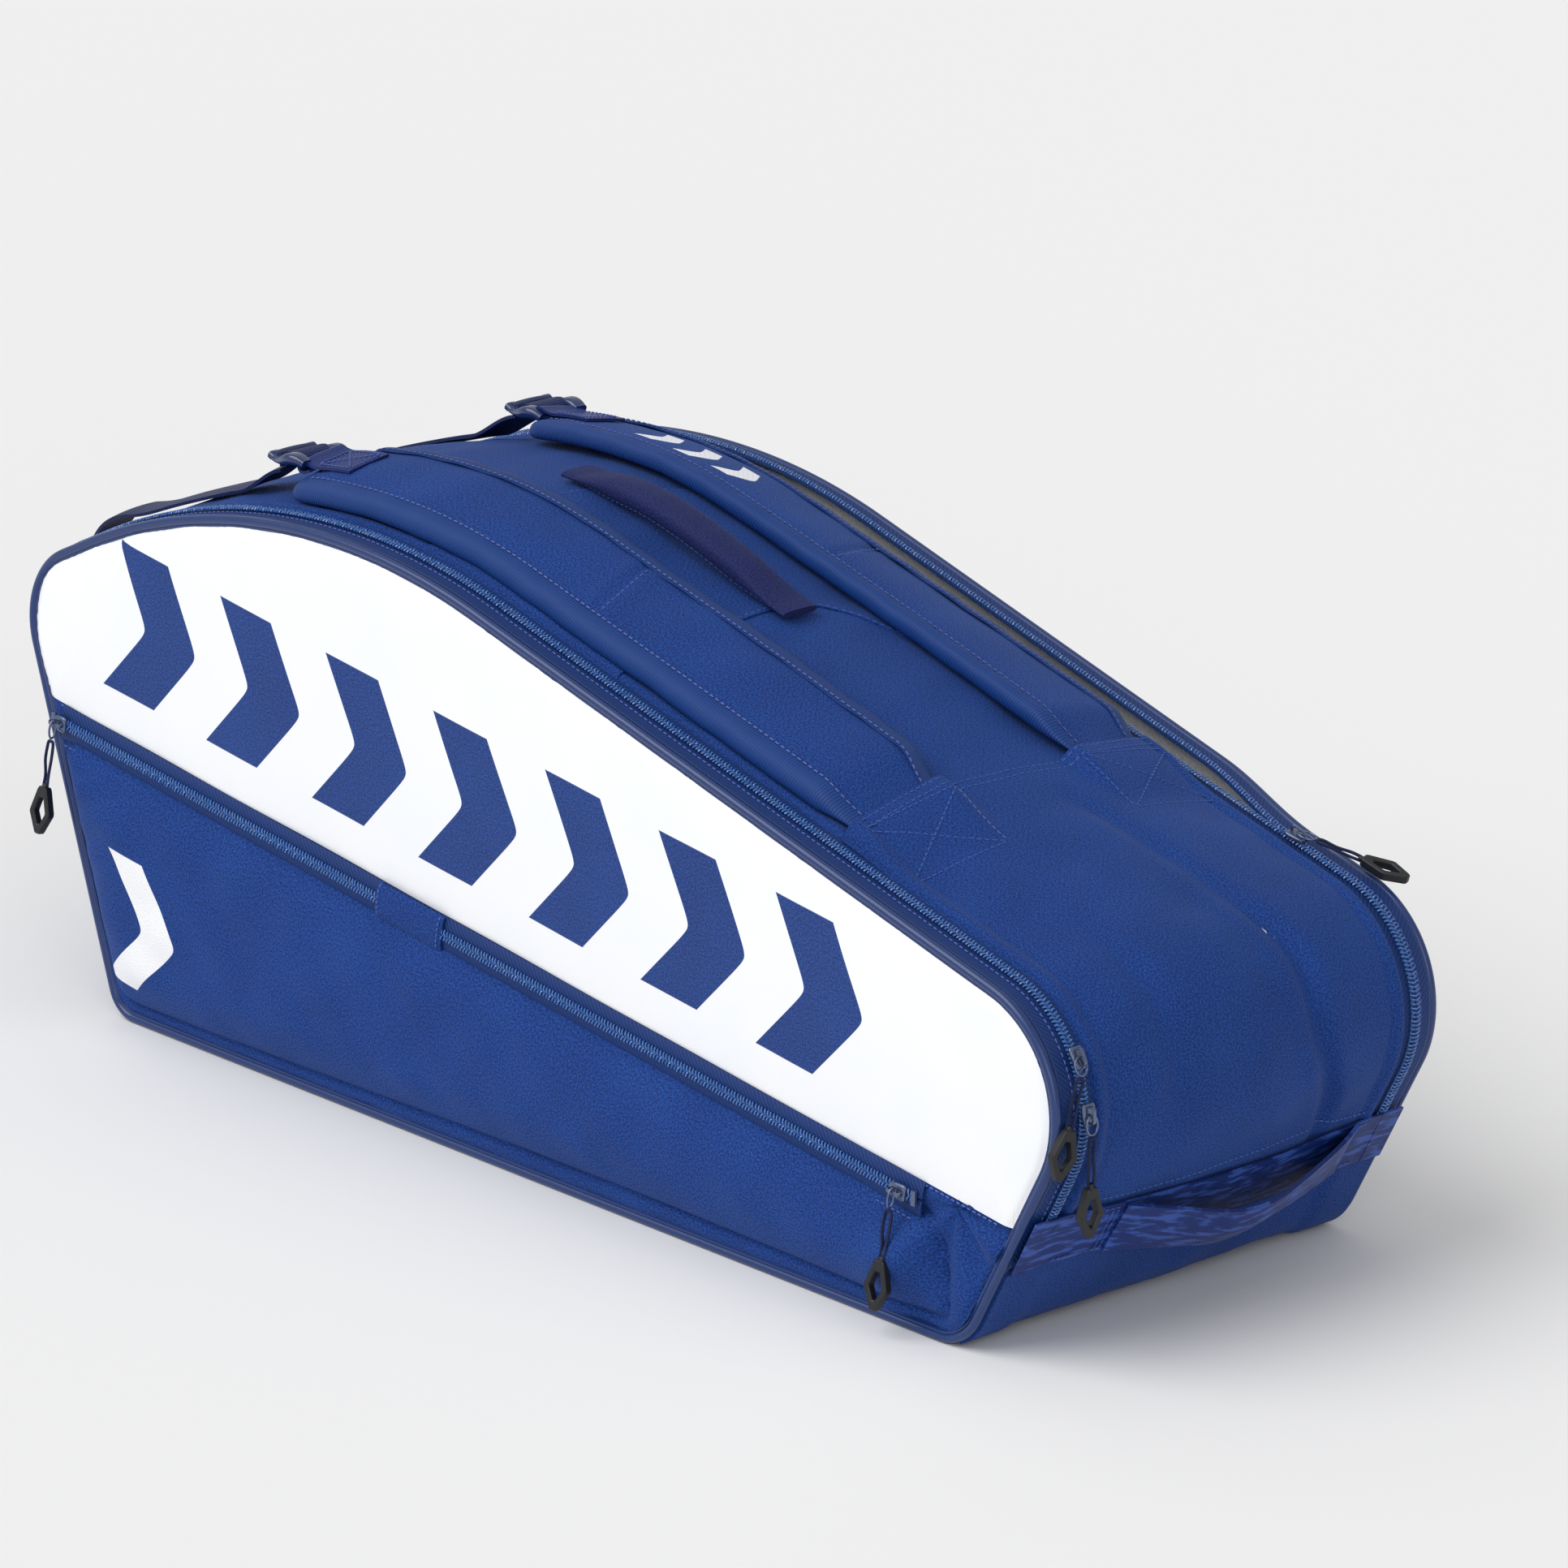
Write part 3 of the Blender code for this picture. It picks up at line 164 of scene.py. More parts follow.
# ---------------------------------------------------------------- the side outline
class Outline:
    """Closed outline in the side plane: straight lines and arcs, clockwise seen from the front."""

    def __init__(self, corners, inset=0.0):
        points = np.array([corner[:2] for corner in corners])
        along = unit(np.roll(points, -1, axis=0) - points)
        normals = np.stack([-along[:, 1], along[:, 0]], axis=1)
        arcs = []
        for k, corner in enumerate(corners):
            first, second = normals[k - 1], normals[k]
            tip = points[k] - inset * (first + second) / (1 + first @ second)
            radius = max(corner[2] - inset, 0.0005)
            turn = math.acos(np.clip(first @ second, -1, 1))
            reach = radius * math.tan(turn / 2)
            start = tip - along[k - 1] * reach
            arcs.append((start, tip + along[k] * reach, start - first * radius, radius, turn, first))
        self.pieces = []
        self.length = 0.0
        for k, (start, end, centre, radius, turn, first) in enumerate(arcs):
            self.pieces.append((self.length, radius * turn, "arc", centre, radius, first))
            self.length += radius * turn
            reach = np.linalg.norm(arcs[(k + 1) % len(arcs)][0] - end)
            self.pieces.append((self.length, reach, "line", end, along[k], normals[k]))
            self.length += reach

    def at(self, distance):
        """Points and outward normals at distances along the outline."""
        distance = np.mod(np.asarray(distance, float), self.length)
        points = np.zeros(distance.shape + (2,))
        normals = np.zeros_like(points)
        for start, length, kind, origin, measure, normal in self.pieces:
            inside = (distance >= start) & (distance <= start + length)
            travelled = distance[inside][:, None] - start
            if kind == "arc":
                cosine, sine = np.cos(travelled / measure), np.sin(travelled / measure)
                normals[inside] = np.hstack([normal[0] * cosine + normal[1] * sine,
                                             normal[1] * cosine - normal[0] * sine])
                points[inside] = origin + normals[inside] * measure
            else:
                points[inside] = origin + travelled * measure
                normals[inside] = normal
        return points, normals

    def arc_start(self, corner):
        return self.pieces[2 * corner][0]

    def where(self, test, low, high):
        """Distance between low and high where a test of the point turns true."""
        for _ in range(40):
            middle = (low + high) / 2
            if test(self.at(middle)[0]):
                high = middle
            else:
                low = middle
        return high

    def ends_where(self, high_test, low_test):
        """Distances on the high end and on the low end where their tests turn true."""
        return (self.where(high_test, 0.02, self.arc_start(2)),
                self.where(low_test, self.arc_start(3), self.arc_start(4) + self.pieces[8][1]))


def field_line(x, drop=0.0):
    """Height of the white field's lower edge."""
    return FIELD_LINE_HEIGHT + FIELD_LINE_SLOPE * x - drop


SIDE = Outline(SIDE_CORNERS)
PANEL = Outline(SIDE_CORNERS, PANEL_INSET)
HIGH_END_TOP = SIDE.arc_start(2)
LOW_END_TOP = SIDE.arc_start(3)
LOW_END_BOTTOM = SIDE.arc_start(4) + SIDE.pieces[8][1]
HIGH_END_FOLD, LOW_END_FOLD = SIDE.ends_where(lambda point: point[1] > FOLD_HEIGHT,
                                              lambda point: point[1] < FOLD_HEIGHT)
FIELD_EDGE = PANEL.ends_where(lambda point: point[1] > field_line(point[0]),
                              lambda point: point[1] < field_line(point[0]))
LOWER_EDGE = (FIELD_EDGE[0], FIELD_EDGE[1] - PANEL.length)


def top_at(x):
    """Distance along the top of the outline at a given x."""
    return SIDE.where(lambda point: point[0] > x, SIDE.arc_start(1), SIDE.arc_start(4))


def crown(point, y):
    """How far the top and ends stand above the side outline; they sag a little at the high end."""
    taut = np.clip((point[..., 0] - CROWN_SLACK_X) / (CROWN_TAUT_X - CROWN_SLACK_X), 0, 1)
    fullness = CROWN_SLACK + (1 - CROWN_SLACK) * taut
    height = np.clip(point[..., 1] / CROWN_FULL_HEIGHT, 0, 1)
    return GUSSET_CROWN * fullness * height * np.clip(1 - (y / GUSSET_HALF) ** 2, 0, 1)


def skin(distance, y, lift=0.0):
    """Points over the crowned top and ends of the bag, lift metres out from them."""
    distance, y, lift = np.broadcast_arrays(distance, y, lift)
    point, normal = SIDE.at(distance)
    place = point + normal * (crown(point, y) + lift)[..., None]
    return np.stack([place[..., 0], y, place[..., 1]], axis=-1)


def skin_normal(distance, y):
    """Outward direction of the crowned skin."""
    step = 0.001
    along = skin(distance + step, y) - skin(distance - step, y)
    return unit(np.cross(skin(distance, y + step) - skin(distance, y - step), along))


def high_end_x(z):
    """x of the outline's straight high end at a height."""
    (low_x, low_z), (high_x, high_z) = SIDE_CORNERS[0][:2], SIDE_CORNERS[1][:2]
    return low_x + (high_x - low_x) * (z - low_z) / (high_z - low_z)


def on_side(side, x, out, z):
    """Points of a side panel: out is the distance from the middle plane with the panel shut.

    The rear panel stands a little open. Its mouth closes at the sliders at both ends.
    """
    if side < 0:
        return joined(x, -out, z)
    near_high_end = (1 - ease(z, 0.11, 0.2)) * (1 - ease(x - high_end_x(z), 0, 0.06))
    angle = REAR_AJAR * ease(z, 0.02, 0.08) * (1 - ease(x, 0.215, 0.287)) * (1 - near_high_end)
    rise, reach = z - FOLD_HEIGHT, out - PANEL_FACE
    return joined(x, PANEL_FACE + reach * np.cos(angle) + rise * np.sin(angle),
                  FOLD_HEIGHT + rise * np.cos(angle) - reach * np.sin(angle))


def panel_point(side, x, z, lift):
    return on_side(side, x, PANEL_FACE + lift, z)


# ---------------------------------------------------------------- meshes
def grid_faces(rows, columns, closed=False, cyclic=False):
    index = np.arange(rows * columns).reshape(rows, columns)
    if closed:
        index = np.hstack([index, index[:, :1]])
    if cyclic:
        index = np.vstack([index, index[:1]])
    corners = [index[:-1, :-1], index[1:, :-1], index[1:, 1:], index[:-1, 1:]]
    return np.stack(corners, axis=-1).reshape(-1, 4)


def lengths(points, axis):
    """Length travelled along a grid's rows or columns."""
    steps = np.linalg.norm(np.diff(points, axis=axis), axis=-1)
    start = np.zeros_like(np.take(steps, [0], axis=axis))
    return np.concatenate([start, np.cumsum(steps, axis=axis)], axis=axis)


def tangents(path, cyclic=False):
    if cyclic:
        return unit(np.roll(path, -1, axis=0) - np.roll(path, 1, axis=0))
    return unit(np.gradient(path, axis=0))


class Shape:
    """Mesh in the making: pieces of geometry with woven coordinates in metres."""

    def __init__(self):
        self.points, self.faces, self.weave, self.count = [], [], [], 0

    def add(self, points, faces, weave, grid):
        """Takes points in; the weave follows the grid's own lengths when none is given."""
        if weave is None:
            weave = np.stack([lengths(grid, 0), lengths(grid, 1)], axis=-1)
        weave = np.reshape(weave, (-1, 2))
        self.points.append(points.reshape(-1, 3))
        self.weave.append(np.concatenate([weave] * (points.size // 3 // len(weave))))
        self.faces += [tuple(int(corner) + self.count for corner in face) for face in faces]
        self.count += points.size // 3

    def grid(self, points, weave=None, closed=False, cyclic=False, caps=False):
        rows, columns = points.shape[:2]
        faces = list(grid_faces(rows, columns, closed, cyclic))
        if caps:
            faces += [range(columns), range((rows - 1) * columns, rows * columns)]
        self.add(points, faces, weave, points)

    def plate(self, outer, thickness, weave=None, outward=None):
        """Cloth or webbing: a grid with a thickness, closed round its rim."""
        rows, columns = outer.shape[:2]
        normals = unit(np.cross(np.gradient(outer, axis=0), np.gradient(outer, axis=1)))
        reference = outer - np.array([0, 0, 0.14]) if outward is None else np.asarray(outward, float)
        if np.mean(np.sum(normals * reference, axis=-1)) < 0:
            normals = -normals
        front = grid_faces(rows, columns)
        index = np.arange(rows * columns).reshape(rows, columns)
        rim = np.concatenate([index[:, 0], index[-1, 1:], index[-2::-1, -1], index[0, -2:0:-1]])
        following = np.roll(rim, -1)
        below = rows * columns
        edge = np.stack([rim, rim + below, following + below, following], axis=-1)
        faces = np.vstack([front, front[:, ::-1] + below, edge])
        self.add(np.stack([outer, outer - normals * thickness]), faces, weave, outer)

    def tube(self, path, radius, sides=8, cyclic=False, squeeze=1.0):
        """Round bar along a path; squeeze flattens it. Its frame turns with the path, without twist."""
        tangent = tangents(path, cyclic)
        first = np.cross(tangent[0], (0.3, 0.5, 0.81))
        normals = [first / np.linalg.norm(first)]
        for step in tangent[1:]:
            normals.append(unit(normals[-1] - step * (step @ normals[-1])))
        normals = np.array(normals)
        angle = around(sides)
        ring = normals[:, None] * np.cos(angle)[:, None] + np.cross(tangent, normals)[:, None] * (
            squeeze * np.sin(angle)[:, None])
        radius = np.broadcast_to(radius, (len(path),))[:, None, None]
        self.grid(path[:, None] + ring * radius, closed=True, cyclic=cyclic, caps=not cyclic)

    def sweep(self, path, up, section):
        """A closed section (sideways, upwards) along a path, upright along the up vectors."""
        tangent = tangents(path)
        across = unit(np.cross(tangent, np.broadcast_to(up, path.shape)))
        up = np.cross(across, tangent)
        self.grid(path[:, None] + across[:, None] * section[..., :1] + up[:, None] * section[..., 1:],
                  closed=True, caps=True)

    def stitches(self, path, normals, pitch=0.0042, length=0.0026, width=0.00042, height=0.0004):
        """Row of short threads along a path, each a low rounded bar."""
        normals = np.broadcast_to(normals, path.shape)
        travelled = lengths(path, 0)
        section = np.array([(-1, 0), (-0.7, 0.75), (0, 1), (0.7, 0.75), (1, 0), (0, -0.6)])
        section = section * (width, height)
        sizes = np.array([0.35, 1, 1, 0.35])[:, None, None]
        for start in np.arange(pitch / 2, travelled[-1] - length, pitch):
            places = start + length * np.array([0, 0.15, 0.85, 1])
            points, up = [np.stack([np.interp(places, travelled, line[:, k]) for k in range(3)], axis=1)
                          for line in (path, normals)]
            self.sweep(points, up, section * sizes)

    def sew(self, place, y, lift, *sizes):
        """Stitches over the crowned skin."""
        self.stitches(skin(place, y, lift), skin_normal(place, y), *sizes)

    def sewn_box(self, low, high, wide, centre, lift, pitch, length, count=40):
        """Square of stitches with both diagonals over the skin; lift follows from the place."""
        corners = np.array([(low, -wide), (low, wide), (high, wide), (high, -wide)])
        for a, b in ((0, 1), (1, 2), (2, 3), (3, 0), (0, 2), (1, 3)):
            place, y = (corners[a] + (corners[b] - corners[a]) * np.linspace(0, 1, count)[:, None]).T
            self.sew(place, centre + y, lift(place, centre + y), pitch, length)

    def finish(self, name, look, body, replaces=(), slot=None, angle=40, merge=False):
        """Makes the mesh object and hangs it on its body; a ("fold", side) body only gets its placement baked
        into the mesh.
        """
        mesh = bpy.data.meshes.new(name)
        mesh.from_pydata(np.concatenate(self.points).tolist(), [], self.faces)
        corner = np.empty(len(mesh.loops), int)
        mesh.loops.foreach_get("vertex_index", corner)
        weave = np.concatenate(self.weave)[corner].astype(np.float32)
        mesh.uv_layers.new(name="weave").data.foreach_set("uv", weave.ravel())
        shape = bmesh.new()
        shape.from_mesh(mesh)
        if merge:
            bmesh.ops.remove_doubles(shape, verts=shape.verts, dist=1e-6)
            bmesh.ops.dissolve_degenerate(shape, edges=shape.edges, dist=1e-7)
        bmesh.ops.recalc_face_normals(shape, faces=shape.faces)
        shape.to_mesh(mesh)
        shape.free()
        mesh.shade_smooth()
        mesh.set_sharp_from_angle(angle=math.radians(angle))
        item = bpy.data.objects.new(name, mesh)
        bpy.context.scene.collection.objects.link(item)
        mesh.materials.append(look)
        if isinstance(body, tuple):
            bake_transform(item)
        else:
            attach(item, body)
        if replaces:
            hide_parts(*replaces)
        return item


def cloth(name, look, body, points, thickness, replaces=(), slot=None, angle=40, weave=None, outward=None,
          merge=False):
    """A piece that is one plate of cloth."""
    shape = Shape()
    shape.plate(points, thickness, weave, outward)
    return shape.finish(name, look, body, replaces, slot, angle, merge)


def rounded_box(half_width, half_height, corner, steps=4):
    """Section of a bar with rounded corners."""
    points = []
    for quarter, (u, v) in enumerate(((1, 1), (-1, 1), (-1, -1), (1, -1))):
        for angle in math.pi / 2 * (quarter + np.arange(steps + 1) / steps):
            points.append((u * (half_width - corner) + corner * math.cos(angle),
                           v * (half_height - corner) + corner * math.sin(angle)))
    return np.array(points)


def placed(matrix, points):
    """Local points taken through a 4x4 placement."""
    matrix = np.array(matrix)
    return np.asarray(points, float) @ matrix[:3, :3].T + matrix[:3, 3]


def frame_from(origin, along, outward):
    """Placement with X along a direction and Z outwards."""
    along = Vector(along).normalized()
    outward = Vector(outward)
    outward = (outward - along * outward.dot(along)).normalized()
    matrix = Matrix((along, outward.cross(along), outward)).transposed().to_4x4()
    matrix.translation = Vector(origin)
    return matrix


def smooth_path(corners, steps=12):
    """Curve through corner points (Catmull-Rom)."""
    corners = np.asarray(corners, float)
    ends = np.vstack([2 * corners[0] - corners[1], corners, 2 * corners[-1] - corners[-2]])
    share = around(steps, 1)[:, None]
    points = []
    for p0, p1, p2, p3 in zip(ends, ends[1:], ends[2:], ends[3:]):
        points.append(0.5 * (2 * p1 + (p2 - p0) * share + (2 * p0 - 5 * p1 + 4 * p2 - p3) * share ** 2
                             + (3 * p1 - p0 - 3 * p2 + p3) * share ** 3))
    return np.vstack(points + [corners[-1:]])


# ---------------------------------------------------------------- materials
def node(kind, inputs, tree=None, **settings):
    """Outputs of a new shader node, in the tree of the sockets among its inputs."""
    links = {key: value for key, value in inputs.items() if isinstance(value, bpy.types.NodeSocket)}
    tree = tree or next(iter(links.values())).id_data
    made = tree.nodes.new("ShaderNode" + kind)
    for key, value in settings.items():
        setattr(made, key, value)
    for key, value in inputs.items():
        if key in links:
            tree.links.new(value, made.inputs[key])
        else:
            made.inputs[key].default_value = value
    return made.outputs


def calc(operation, a, b=0.0, clamp=False):
    return node("Math", {0: a, 1: b}, operation=operation, use_clamp=clamp)[0]


def plus(a, b, clamp=False):
    return calc("ADD", a, b, clamp)


def minus(a, b):
    return calc("SUBTRACT", a, b)


def times(a, b):
    return calc("MULTIPLY", a, b)


def mix(share, first, second):
    first, second = [(*c, 1.0) if isinstance(c, tuple) else c for c in (first, second)]
    return node("MixRGB", {"Fac": share, "Color1": first, "Color2": second})[0]


def wire(value, socket):
    socket.id_data.links.new(value, socket)


def look(name, roughness, metallic=0.0, coat=0.0, sheen=0.0, specular=0.5):
    """A new material and the inputs of its shader."""
    material = bpy.data.materials.new(name)
    material.use_nodes = True
    sockets = material.node_tree.nodes["Principled BSDF"].inputs
    for socket, value in (("Roughness", roughness), ("Metallic", metallic), ("Coat Weight", coat),
                          ("Coat Roughness", 0.15), ("Sheen Weight", sheen), ("Sheen Roughness", 0.4),
                          ("Specular IOR Level", specular)):
        sockets[socket].default_value = value
    return material, sockets


def millimetres(sockets, source="UV"):
    """Millimetres along the cloth, or through the object's own space."""
    place = node("TexCoord", {}, sockets[0].id_data)[source]
    return node("VectorMath", {0: place, 1: (1000, 1000, 1000)}, operation="MULTIPLY")[0]


def noise(coordinates, scale, detail=2.0):
    return node("TexNoise", {"Vector": coordinates, "Scale": scale, "Detail": detail})[0]


def spread(value, low, high):
    return node("MapRange", {"Value": value, "From Min": low, "From Max": high})[0]


def stripes(coordinates, pitch, direction="X"):
    return node("TexWave", {"Vector": coordinates, "Scale": TURN / pitch / 20}, wave_type="BANDS",
                bands_direction=direction)[1]


def emboss(sockets, height, distance, strength):
    wire(node("Bump", {"Height": height, "Distance": distance, "Strength": strength})[0], sockets["Normal"])


def woven_colour(coordinates, dark, light, grain):
    """Fine two-tone speckle of a melange cloth."""
    speckle = spread(noise(coordinates, 1 / grain, 3), 0.38, 0.66)
    broad = spread(noise(coordinates, 0.02), 0.3, 0.7)
    return mix(plus(speckle, times(minus(broad, 0.5), 0.16), True), dark, light), speckle


BLUES = (0.002, 0.018, 0.12), (0.012, 0.07, 0.32)
WHITE = (0.87, 0.88, 0.9)


def cloth_look(name, dark=BLUES[0], light=BLUES[1], grain=1.0, roughness=0.8, sheen=0.12, twill=1.7):
    material, sockets = look(name, roughness, sheen=sheen, specular=0.25)
    coordinates = millimetres(sockets)
    colour, speckle = woven_colour(coordinates, dark, light, grain)
    emboss(sockets, plus(speckle, times(stripes(coordinates, twill, "DIAGONAL"), 0.5)), 0.00025, 0.7)
    wire(colour, sockets["Base Color"])
    sockets["Sheen Tint"].default_value = (0.35, 0.5, 1.0, 1.0)
    return material, sockets, coordinates, colour


def chevron_mask(coordinates, angle, origin, start, pitch, thickness, half_height, count, lean=0.75):
    """1 inside a row of chevrons that point along a direction, from an origin, in millimetres."""
    split = node("SeparateXYZ", {0: coordinates})
    x, y = minus(split[0], origin[0]), minus(split[1], origin[1])
    along = plus(times(x, math.cos(angle)), times(y, math.sin(angle)))
    across = minus(times(y, math.cos(angle)), times(x, math.sin(angle)))
    bend = calc("SQRT", plus(times(across, across), 9))
    place = minus(plus(along, times(bend, lean)), start)
    cycle = calc("FLOORED_MODULO", place, pitch)
    edge = minus(thickness / 2, calc("ABSOLUTE", minus(cycle, thickness / 2)))
    last = count * pitch - (pitch - thickness) / 2
    ends = calc("MINIMUM", place, minus(last, place))
    inside = calc("MINIMUM", edge, minus(half_height, calc("ABSOLUTE", across)))
    return plus(times(calc("MINIMUM", inside, ends), 2.5), 0.5, True)


def painted_cloth(name, *graphic):
    """Blue cloth with a flat white graphic printed on it."""
    material, sockets, coordinates, colour = cloth_look(name)
    mask = chevron_mask(coordinates, *graphic)
    wire(mix(mask, colour, WHITE), sockets["Base Color"])
    wire(minus(0.8, times(mask, 0.35)), sockets["Roughness"])
    return material


def make_white_field_look():
    material, sockets = look("white_field", 0.42)
    coordinates = millimetres(sockets)
    blue, speckle = woven_colour(coordinates, *BLUES, 1)
    origin = (-322, 1000 * field_line(-0.322) + 64)
    mask = chevron_mask(coordinates, FIELD_LEAN, origin, 42, 82, 40, 40, 7)
    white = mix(spread(noise(coordinates, 0.015), 0.3, 0.7), WHITE, (0.84, 0.86, 0.9))
    wire(mix(mask, white, blue), sockets["Base Color"])
    wire(plus(times(mask, 0.35), 0.42), sockets["Roughness"])
    emboss(sockets, plus(times(noise(coordinates, 1.6), 0.25), times(mask, speckle)), 0.00018, 0.7)
    return material


def ribbed_look(name, dark, light, pitch, roughness=0.5, direction="X", flecks=0.0):
    """Webbing or tape with ribs across its length."""
    material, sockets = look(name, roughness, specular=0.3)
    coordinates = millimetres(sockets)
    ribs = stripes(coordinates, pitch, direction)
    threads = noise(coordinates, 1.2, 3)
    colour = mix(plus(times(ribs, 0.55), times(threads, 0.45)), dark, light)
    if flecks:
        stretched = node("VectorMath", {0: coordinates, 1: (0.06, 0.3, 1.0)}, operation="MULTIPLY")[0]
        patches = spread(noise(stretched, 1, 4), 0.5, 0.58)
        colour = mix(times(patches, flecks), colour, (0.045, 0.11, 0.46))
    wire(colour, sockets["Base Color"])
    emboss(sockets, plus(ribs, times(threads, 0.4)), 0.0003, 0.8)
    return material


def smooth_look(name, colour, roughness, metallic=0.0, coat=0.0):
    """Moulded, lacquered or extruded material with a faint uneven surface."""
    material, sockets = look(name, roughness, metallic, coat)
    coordinates = millimetres(sockets, "Object")
    darker = tuple(0.8 * value for value in colour)
    wire(mix(noise(coordinates, 0.25, 4), darker, colour), sockets["Base Color"])
    emboss(sockets, noise(coordinates, 3, 3), 0.00004, 0.5)
    return material


BLUE = cloth_look("blue_polyester")[0]
LOWER = painted_cloth("blue_polyester_marked", FIELD_LEAN, (-296, 62), 26, 200, 27, 36, 1, 0.9)
STRAP_MARKED = painted_cloth("strap_polyester_marked", 0, (62, 0), 10, 27, 12, 12, 3)
FIELD = make_white_field_look()
LINING = cloth_look("silver_lining", (0.46, 0.47, 0.5), (0.62, 0.63, 0.66), 1.6, 0.4, 0, 1.2)[0]
PADDING = cloth_look("divider_cloth", (0.36, 0.37, 0.39), (0.48, 0.49, 0.51), 1.4, 0.7, 0.1, 1.5)[0]
BOARD = smooth_look("stiffener_board", (0.22, 0.22, 0.23), 0.6)
PIPING = smooth_look("piping_vinyl", (0.004, 0.03, 0.15), 0.32, coat=0.15)
TAPE = ribbed_look("zip_tape", (0.002, 0.016, 0.09), (0.008, 0.044, 0.2), 1.5, 0.6, "DIAGONAL")
COIL = smooth_look("zip_coil", (0.05, 0.16, 0.48), 0.18, coat=0.5)
THREAD = smooth_look("thread", (0.035, 0.095, 0.38), 0.55)
LIGHT_THREAD = smooth_look("light_thread", (0.06, 0.11, 0.42), 0.5)
BINDING = ribbed_look("grosgrain_binding", (0.002, 0.022, 0.13), (0.008, 0.058, 0.26), 1.7, 0.55)
WEBBING = ribbed_look("navy_webbing", (0.002, 0.006, 0.045), (0.008, 0.024, 0.13), 1.6, 0.5)
TAB_WEBBING = ribbed_look("tab_webbing", (0.002, 0.009, 0.075), (0.012, 0.04, 0.22), 1.4, 0.35)
JACQUARD = ribbed_look("jacquard_webbing", (0.002, 0.012, 0.09), (0.008, 0.034, 0.21), 1.2, 0.38, "X", 0.8)
HANDLE = cloth_look("handle_twill", (0.004, 0.008, 0.062), (0.014, 0.024, 0.13), 1.1, 0.7, 0.05, 2.2)[0]
BUCKLE = smooth_look("buckle_plastic", (0.008, 0.026, 0.12), 0.2, coat=0.5)
METAL = smooth_look("lacquered_metal", (0.11, 0.15, 0.27), 0.24, 0.7, 0.4)
CORD = ribbed_look("pull_cord", (0.003, 0.006, 0.035), (0.012, 0.022, 0.09), 0.9, 0.6)
CHARCOAL = smooth_look("charcoal_plastic", (0.004, 0.005, 0.008), 0.5)


# ---------------------------------------------------------------- side panels
def ruled(edge, rows, columns, squeeze=1.0):
    """Grid between the white field's lower edge and a stretch of the panel's outline."""
    along = np.linspace(0, 1, columns)
    rim = PANEL.at(edge[0] + (edge[1] - edge[0]) * along)[0]
    line = rim[0] + (rim[-1] - rim[0]) * along[:, None]
    line[:, 1] = field_line(line[:, 0])
    share = np.linspace(0, 1, rows) ** squeeze
    return line + (rim - line) * share[:, None, None]


def edge_distance(x, z):
    """Distance of points inside the panel from its outline, and the place on it."""
    stations = np.linspace(0, PANEL.length, 900)
    rim = PANEL.at(stations)[0]
    nearest, best = [], []
    for points in np.array_split(np.stack([x, z], axis=-1).reshape(-1, 2), 12):
        apart = np.linalg.norm(points[:, None] - rim, axis=2)
        nearest.append(apart.argmin(axis=1))
        best.append(apart.min(axis=1))
    return np.concatenate(best).reshape(x.shape), stations[np.concatenate(nearest)].reshape(x.shape)


def rolled_edge(depth):
    return -0.0016 * np.exp(-(depth / 0.0022) ** 2)


def field_relief(x, z):
    """How far the white field stands out: a slight crown, puckered along its piping."""
    depth, place = edge_distance(x, z)
    above = z - field_line(x)
    swell = 0.0032 * (1 - np.exp(-np.minimum(depth, above + 0.002) / 0.03))
    puckers = 0.0006 * ripple(place, 0, 0.03, 3) * np.exp(-depth / 0.016)
    waves = 0.0007 * ripple(x, z, 0.16, 5) * ease(depth, 0, 0.04)
    return swell + puckers + waves + rolled_edge(depth) + 0.0004


def pocket_depth(x, z):
    """Distance inside the pocket's seams, rounded at its corners; negative outside."""
    bottom = z - 0.0135 - 0.002 * np.sin(9 * x + 1)
    walls = joined(field_line(x, 0.0152) - z, bottom, x - high_end_x(z) - 0.0105,
                   0.2965 + 0.22 * (0.066 - z) - x)
    softness = 0.004
    return -softness * np.log(np.sum(np.exp(-np.clip(walls, -0.05, 0.3) / softness), axis=-1))


def pocket_relief(x, z):
    """Relief of the blue lower panel: the puffed pocket, its seams and pleats."""
    depth, place = edge_distance(x, z)
    inside = pocket_depth(x, z)
    puff = 0.0116 * (1 - np.exp(-np.clip(inside, 0, None) / 0.01))
    height = 1 - np.exp(-np.clip(inside, 0, None) / 0.026)
    belly = 0.003 * height * (0.6 + 0.4 * np.sin(5 * x + 0.8)) * ease(z, 0, 0.05)
    waves = 0.0015 * ripple(x * 0.6, z, 0.085, 8) * height
    small = 0.0007 * ripple(x, z, 0.03, 12) * ease(inside, 0, 0.012)
    seam = -0.0018 * bump(inside, 0, 0.0018)
    corner_x, corner_z = 0.3 - x, 0.072 - z
    fan = np.cos(7 * np.arctan2(corner_z, corner_x + 0.01) + 0.6)
    pleats = 0.003 * fan * bump(np.hypot(corner_x, corner_z), 0.04, 0.03) * ease(x, 0.215, 0.275)
    folds = 0.0007 * np.cos(330 * (z - 0.5 * x)) * bump(x, -0.325, 0.02) * ease(z, 0.05, 0.09) * ease(
        inside, 0, 0.012)
    pucker = 0.0004 * ripple(place, 0, 0.026, 4) * np.exp(-depth / 0.01)
    return puff + belly + waves + small + seam + pleats + folds + rolled_edge(depth) + pucker


